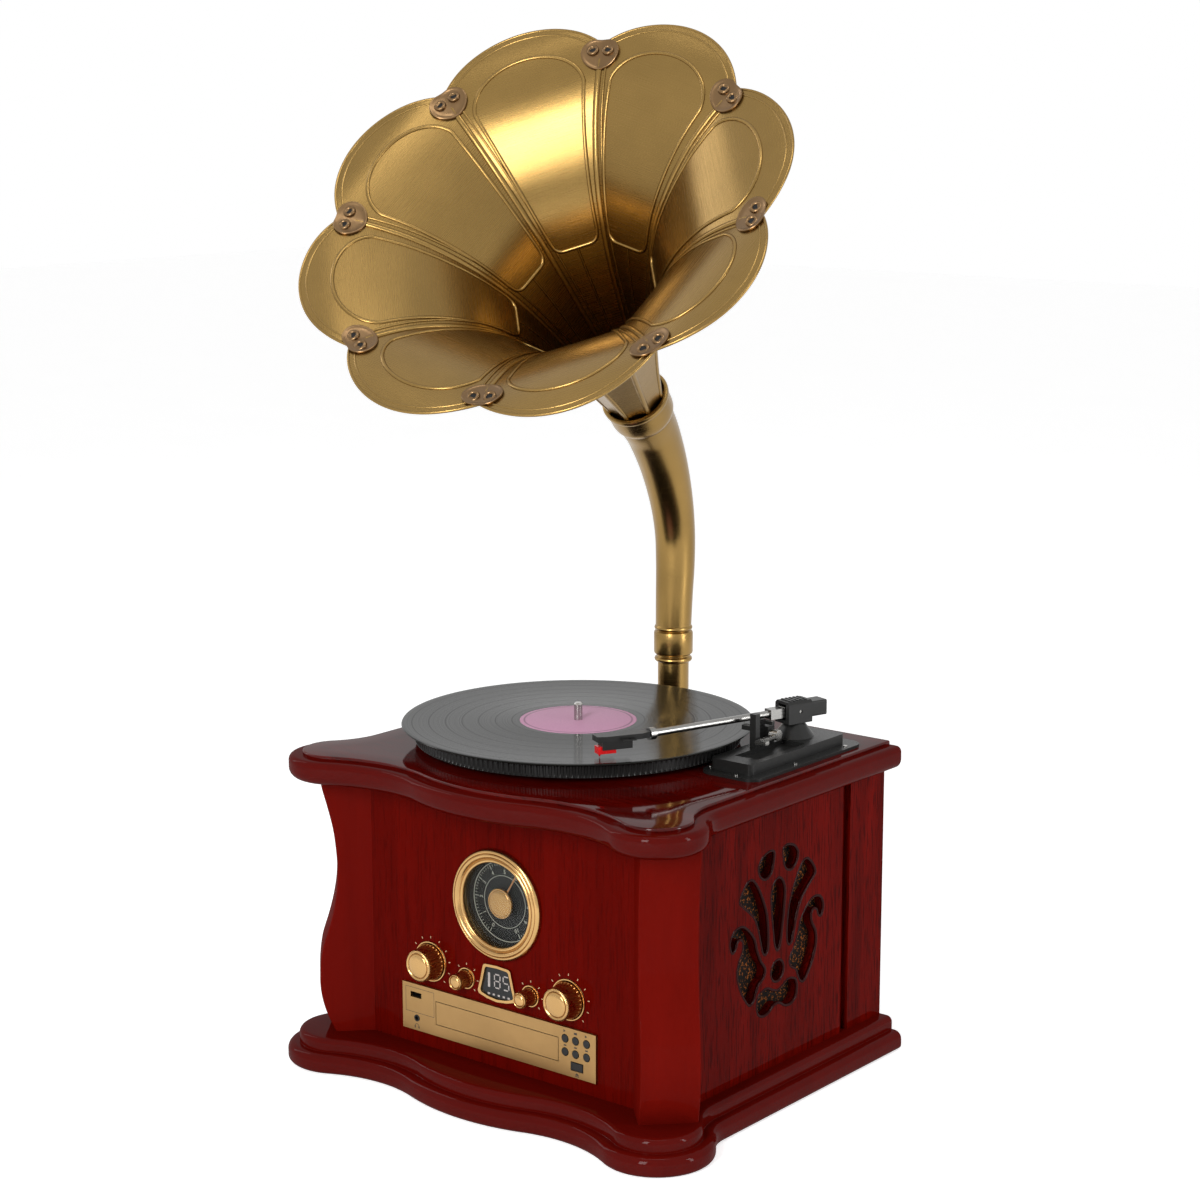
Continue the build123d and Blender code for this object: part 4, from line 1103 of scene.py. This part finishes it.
class PLAYER_OT_horn(Operator):
    """Builds the eight-petal bell, its beads, seams, rim and tie plates, the elbow, collar and stem"""

    bl_idname = "player.horn"
    bl_label = "Horn"

    def execute(self, context):
        s = context.scene.player_horn
        flare = Flare(s.tip_radius, horn_axes(s.tilt, s.turn))
        self.bell(flare)
        self.trim(s, flare)
        self.plates(flare)
        self.neck(s, flare.axes)
        return {"FINISHED"}

    def bell(self, flare):
        """Petal sheets, each flat across and curved along, with their back surfaces."""
        theta = np.linspace(-HALF, HALF, 41)[:, None]
        start = flare.distance(NECK_R)
        far = start + (flare.distance(flare.edge(theta)) - start) * np.linspace(0, 1, 110)[None, :]
        front = flare.at(far, theta)
        grid = np.concatenate([front, flare.at(far, theta, -SHEET)[:, ::-1]], 1)
        uv = np.stack([front[..., 1], far], -1)
        uv = np.concatenate([uv, uv[:, ::-1], uv[:, :1]], 1)
        uv = np.concatenate([uv, uv[-1:]], 0)
        shape = Shape()
        for turn in PETAL_TURNS:
            shape.grid(flare.carry(grid, turn), wrap_cols=True, uv=uv)
        shape.build("horn_petals", "horn", "brass", "horn_bell", crease=12.0)

    def trim(self, s, flare):
        """Rolled rim with a line inside it, pressed beads with a tail, folded seams with a line beside."""
        rim, beads, seams = Shape(), Shape(), Shape()
        line_inset, fold_offset, fold_start = 5.5, 6.6, 14
        theta = np.linspace(-HALF, HALF, 61)
        edge_r = flare.edge(theta)
        edge = flare.at(flare.distance(edge_r), theta, -SHEET / 2)
        inner = flare.at(flare.distance(edge_r - line_inset)[2:-2], theta[2:-2])
        line = evenly_closed(bead_path(flare), 220)
        bead = flare.at(line[:, 0], np.arctan2(line[:, 1], np.interp(line[:, 0], flare.far, flare.r)))
        bead_up = flare.normal(line[:, 0])
        far = np.linspace(flare.distance(25.0), flare.distance(60.0), 40)
        tail, tail_up = flare.at(far, 0.0), flare.normal(far)
        far = np.linspace(flare.distance(23.2), flare.distance(160.0), 120)
        ridge, ridge_up = flare.at(far, HALF, 0.2), flare.normal(far)
        beside = (flare.at(far, HALF) - (0, fold_offset, 0))[fold_start:]
        bead_form = oval(s.bead_width, s.bead_height)
        tail_form = oval(s.bead_width * 0.7, s.bead_height * 0.7)
        for turn in PETAL_TURNS:
            sweep(rim, flare.carry(edge, turn), flare.axes[2], oval(2 * s.rim_radius, s.rim_radius))
            sweep(rim, flare.carry(inner, turn), flare.axes[2], oval(1.7, 0.55, 8))
            sweep(beads, flare.carry(bead, turn), flare.aim(bead_up, turn), bead_form, closed=True)
            sweep(beads, flare.carry(tail, turn), flare.aim(tail_up, turn), tail_form)
            sweep(seams, flare.carry(ridge, turn), flare.aim(ridge_up, turn + HALF), oval(5.6, 1.9, 12))
            sweep(seams, flare.carry(beside, turn), flare.aim(ridge_up[fold_start:], turn), oval(2.2, 1.0, 8))
        rim.build("horn_rim", "horn", "brass_neck", crease=60.0)
        beads.build("horn_beads", "horn", "brass_neck", crease=60.0)
        seams.build("horn_seams", "horn", "brass_neck", crease=60.0)

    def plates(self, flare):
        """Oval tie plates that follow the bell over each seam, with a pressed step and two eyelets."""
        plates, hole_shade = Shape(), Shape()
        psi = np.linspace(0, 2 * math.pi, 64, endpoint=False)[None, :]
        steps = [(0, 1.5), (0.3, 1.5), (0.6, 1.5), (0.8, 1.5), (0.86, 1.75), (0.92, 2.1), (0.97, 2.1),
                 (1, 1.7), (1, 1.2), (1, 0.2)]
        rho, lift = np.array(steps).T[:, :, None]
        half_length, half_width, dent_depth, dent_spread, fold, clear = 13.5, 17.0, 0.13, 0.42, 3.0, 0.15
        dent = 1 - dent_depth * np.exp(-(np.minimum(psi, 2 * math.pi - psi) / dent_spread) ** 2)
        x = PLATE_AT + half_length * rho * dent * np.cos(psi)
        y = half_width * rho * np.sin(psi)
        top = np.stack([x, y, flare.front(x, np.sqrt(y ** 2 + fold ** 2)) + lift + clear], -1)
        eyelet = [(2.3, -1), (5.4, -1), (5.4, 0.9), (5, 1.6), (4, 2), (3, 1.7), (2.4, 0.9)]
        # A disc that closes each eyelet's hole, finished near black as painted shade inside the hole
        shade_disc = [(0.0, 0.3), (2.35, 0.3), (2.35, 0.95), (0.0, 0.95)]
        eyelet_at, eyelet_side, eyelet_lift = PLATE_AT + 2.5, 7.0, 1.2
        for turn in SEAM_TURNS:
            plates.grid(flare.carry(top, turn), wrap_cols=True, caps=True)
            for y in (-eyelet_side, eyelet_side):
                centre = np.array([eyelet_at, y, flare.front(eyelet_at, y) + eyelet_lift])
                grid, uv = lathe_grid(np.array(eyelet), 40)
                plates.grid(flare.carry(grid + centre, turn), wrap_rows=True, wrap_cols=True, uv=uv)
                # Painted shade: a dark disc put in the eyelet's hole
                grid, uv = lathe_grid(np.array(shade_disc), 32)
                hole_shade.grid(flare.carry(grid + centre, turn), wrap_rows=True, uv=uv)
        plates.build("horn_tie_plates", "horn", "copper", "horn_plates")
        hole_shade.build("horn_eyelet_hole_shade", "horn", "dark")

    def neck(self, s, axes):
        """Elbow on a smooth path with a growing round section, its collar, and the turned stem."""
        ahead, level = headings(s.turn)
        low = [(0, 341), (-1.5, 368), (-3.6, 398), (-2.2, 428), (7, 460), (24.5, 494)]
        centres = [NECK + ahead * u + (0, 0, z) for u, z in low]
        centres += [MOUTH + axes[2] * v for v in (-291, -266)]
        radii = [16.4, 17.0, 17.8, 18.4, 19.7, 21.6, 23.6, 25.2]
        path = smooth_curve(np.column_stack([centres, radii]), 140)
        line, r = path[:, :3], path[:, 3]
        tangent = unit(np.gradient(line, axis=0))
        tangent[0] = (0, 0, 1)
        tangent[-1] = axes[2]
        a = np.linspace(0, 2 * math.pi, 72, endpoint=False)[:, None]
        spoke = np.cos(a) * level + np.sin(a) * np.cross(level, tangent)[:, None]
        wall = 1.5
        outer, inner = (line[:, None] + radius[:, None, None] * spoke for radius in (r, r - wall))
        far = lengths(line)
        v = np.concatenate([far, far[::-1], far[:1]])
        uv = np.stack(np.broadcast_arrays(np.linspace(0, 1, 73), v[:, None]), -1)
        elbow, collar, stem = Shape(), Shape(), Shape()
        elbow.grid(np.concatenate([outer, inner[::-1]], 0), wrap_rows=True, wrap_cols=True, uv=uv)
        elbow.build("horn_elbow_tube", "horn", "brass_neck", "horn_elbow")
        ring = [(22, -266), (25.3, -266), (26.6, -264.2), (28, -261), (28.5, -258), (28.6, -252),
                (28.6, -243), (29.2, -242.2), (30.1, -240.6), (30.3, -238.6), (29.8, -236.8), (28.6, -236),
                (27.3, -236), (27.2, -237), (27.2, -262), (22, -262)]
        lathe(collar, ring, MOUTH, *axes)
        collar.build("horn_collar_ring", "horn", "brass_neck", "horn_collar", crease=35.0)
        turned = [(12.4, 162), (14.25, 162), (14.25, 306.6), (15.4, 307), (16.9, 308.2), (17.4, 309.6),
                  (16.9, 311), (15.6, 312), (15.2, 312.6), (15.2, 313.4), (16.4, 314), (17.5, 315),
                  (17.9, 316.4), (17.9, 325), (17.9, 333.8), (17.4, 335.2), (16.2, 335.9), (15.9, 336.4),
                  (16.9, 337.2), (17.5, 338.6), (17.2, 340), (16.4, 341), (12.4, 341)]
        lathe(stem, turned, NECK, *UPRIGHT)
        stem.build("horn_stem_tube", "horn", "brass_neck", "horn_stem", crease=30.0)
        dress("brass_plain", "horn_bracket")


# Stage


class PLAYER_OT_stage(Operator):
    """Sets the floor, background, lights and camera"""

    bl_idname = "player.stage"
    bl_label = "Stage"

    def execute(self, context):
        s = context.scene.player_stage
        mesh = bpy.data.meshes.new("studio_floor")
        reach, below = 8.0, -0.0005
        corners = [(x * reach, y * reach, below) for x, y in ((-1, -1), (1, -1), (1, 1), (-1, 1))]
        mesh.from_pydata(corners, [], [(0, 1, 2, 3)])
        mesh.materials.append(studio_floor("floor_paper"))
        floor = bpy.data.objects.new("studio_floor", mesh)
        context.scene.collection.objects.link(floor)
        self.light(context, "front_window", (0.5, -2.05, 1.2), (-0.05, 0, 0.55), (0.5, 1.3), s.key_power)
        self.light(context, "left_window", (-2.1, -0.35, 1.45), (0, 0, 0.5), (0.3, 1.6), s.left_power)
        self.light(context, "right_window", (2.2, 0.5, 0.85), (0.05, 0, 0.45), (0.3, 1.5), s.fill_power)
        self.light(context, "overhead", (0.2, -0.3, 2.3), (0, 0, 0.3), (1.2, 0.25), s.top_power)
        self.world(context, s.ambient)
        self.camera(context)
        context.scene.view_settings.view_transform = "Standard"
        return {"FINISHED"}

    def light(self, context, name, place, target, size, power):
        """A soft rectangular light aimed at a point."""
        lamp = bpy.data.lights.new(name, "AREA")
        lamp.shape = "RECTANGLE"
        lamp.size, lamp.size_y = size
        lamp.energy = power
        holder = bpy.data.objects.new(name, lamp)
        holder.location = place
        aim = np.array(target) - np.array(place)
        flat = math.hypot(aim[0], aim[1])
        holder.rotation_euler = (math.pi / 2 - math.atan2(-aim[2], flat), 0.0, math.atan2(-aim[0], aim[1]))
        context.scene.collection.objects.link(holder)

    def world(self, context, ambient):
        """White to the camera and in reflections, an even dim light otherwise."""
        world = bpy.data.worlds.new("studio")
        world.use_nodes = True
        nodes, links = world.node_tree.nodes, world.node_tree.links
        back = nodes["Background"]
        back.inputs["Color"].default_value = (1, 1, 1, 1)
        pick = nodes.new("ShaderNodeMapRange")
        pick.inputs["To Min"].default_value = ambient
        pick.inputs["To Max"].default_value = 1.0
        links.new(seen_directly(world.node_tree), pick.inputs["Value"])
        links.new(pick.outputs["Result"], back.inputs["Strength"])
        context.scene.world = world

    def camera(self, context):
        """The photograph's viewpoint."""
        lens = bpy.data.cameras.new("photo_view")
        lens.sensor_width = 36.0
        lens.lens = 78.897
        lens.shift_x, lens.shift_y = -0.01198, -0.00621
        lens.clip_start, lens.clip_end = 0.05, 30.0
        eye = bpy.data.objects.new("photo_view", lens)
        eye.location = (1.3625, -1.7037, 0.8349)
        elevation, azimuth = 11.13, 38.65
        eye.rotation_euler = (math.radians(90 - elevation), 0.0, math.radians(azimuth))
        context.scene.collection.objects.link(eye)
        context.scene.camera = eye


class PLAYER_PT_parts(Panel):
    """Buttons that build the record player"""

    bl_label = "Record Player"
    bl_idname = "PLAYER_PT_parts"
    bl_space_type = "VIEW_3D"
    bl_region_type = "UI"
    bl_category = "Record Player"

    def draw(self, context):
        for operator in OPERATORS:
            self.layout.operator(operator.bl_idname)
        for group in ("player_horn", "player_cabinet", "player_turntable", "player_stage"):
            settings = getattr(context.scene, group)
            for key in settings.bl_rna.properties.keys():
                if key not in ("rna_type", "name"):
                    self.layout.prop(settings, key)


GROUPS = {"player_horn": HornSettings, "player_cabinet": CabinetSettings,
          "player_turntable": TurntableSettings, "player_stage": StageSettings}
OPERATORS = (PLAYER_OT_cabinet, PLAYER_OT_dial, PLAYER_OT_controls, PLAYER_OT_turntable, PLAYER_OT_horn,
             PLAYER_OT_stage)


def register():
    """Adds the settings to the scene, then the operators and the panel."""
    for name, group in GROUPS.items():
        bpy.utils.register_class(group)
        setattr(bpy.types.Scene, name, PointerProperty(type=group))
    for kind in (*OPERATORS, PLAYER_PT_parts):
        bpy.utils.register_class(kind)


def unregister():
    """Takes out what register added."""
    for kind in reversed((*OPERATORS, PLAYER_PT_parts)):
        bpy.utils.unregister_class(kind)
    for name, group in GROUPS.items():
        delattr(bpy.types.Scene, name)
        bpy.utils.unregister_class(group)


def main():
    """Builds every piece in order."""
    register()
    bpy.ops.player.cabinet()
    bpy.ops.player.dial()
    bpy.ops.player.controls()
    bpy.ops.player.turntable()
    bpy.ops.player.horn()
    bpy.ops.player.stage()


if __name__ == "__main__":
    main()
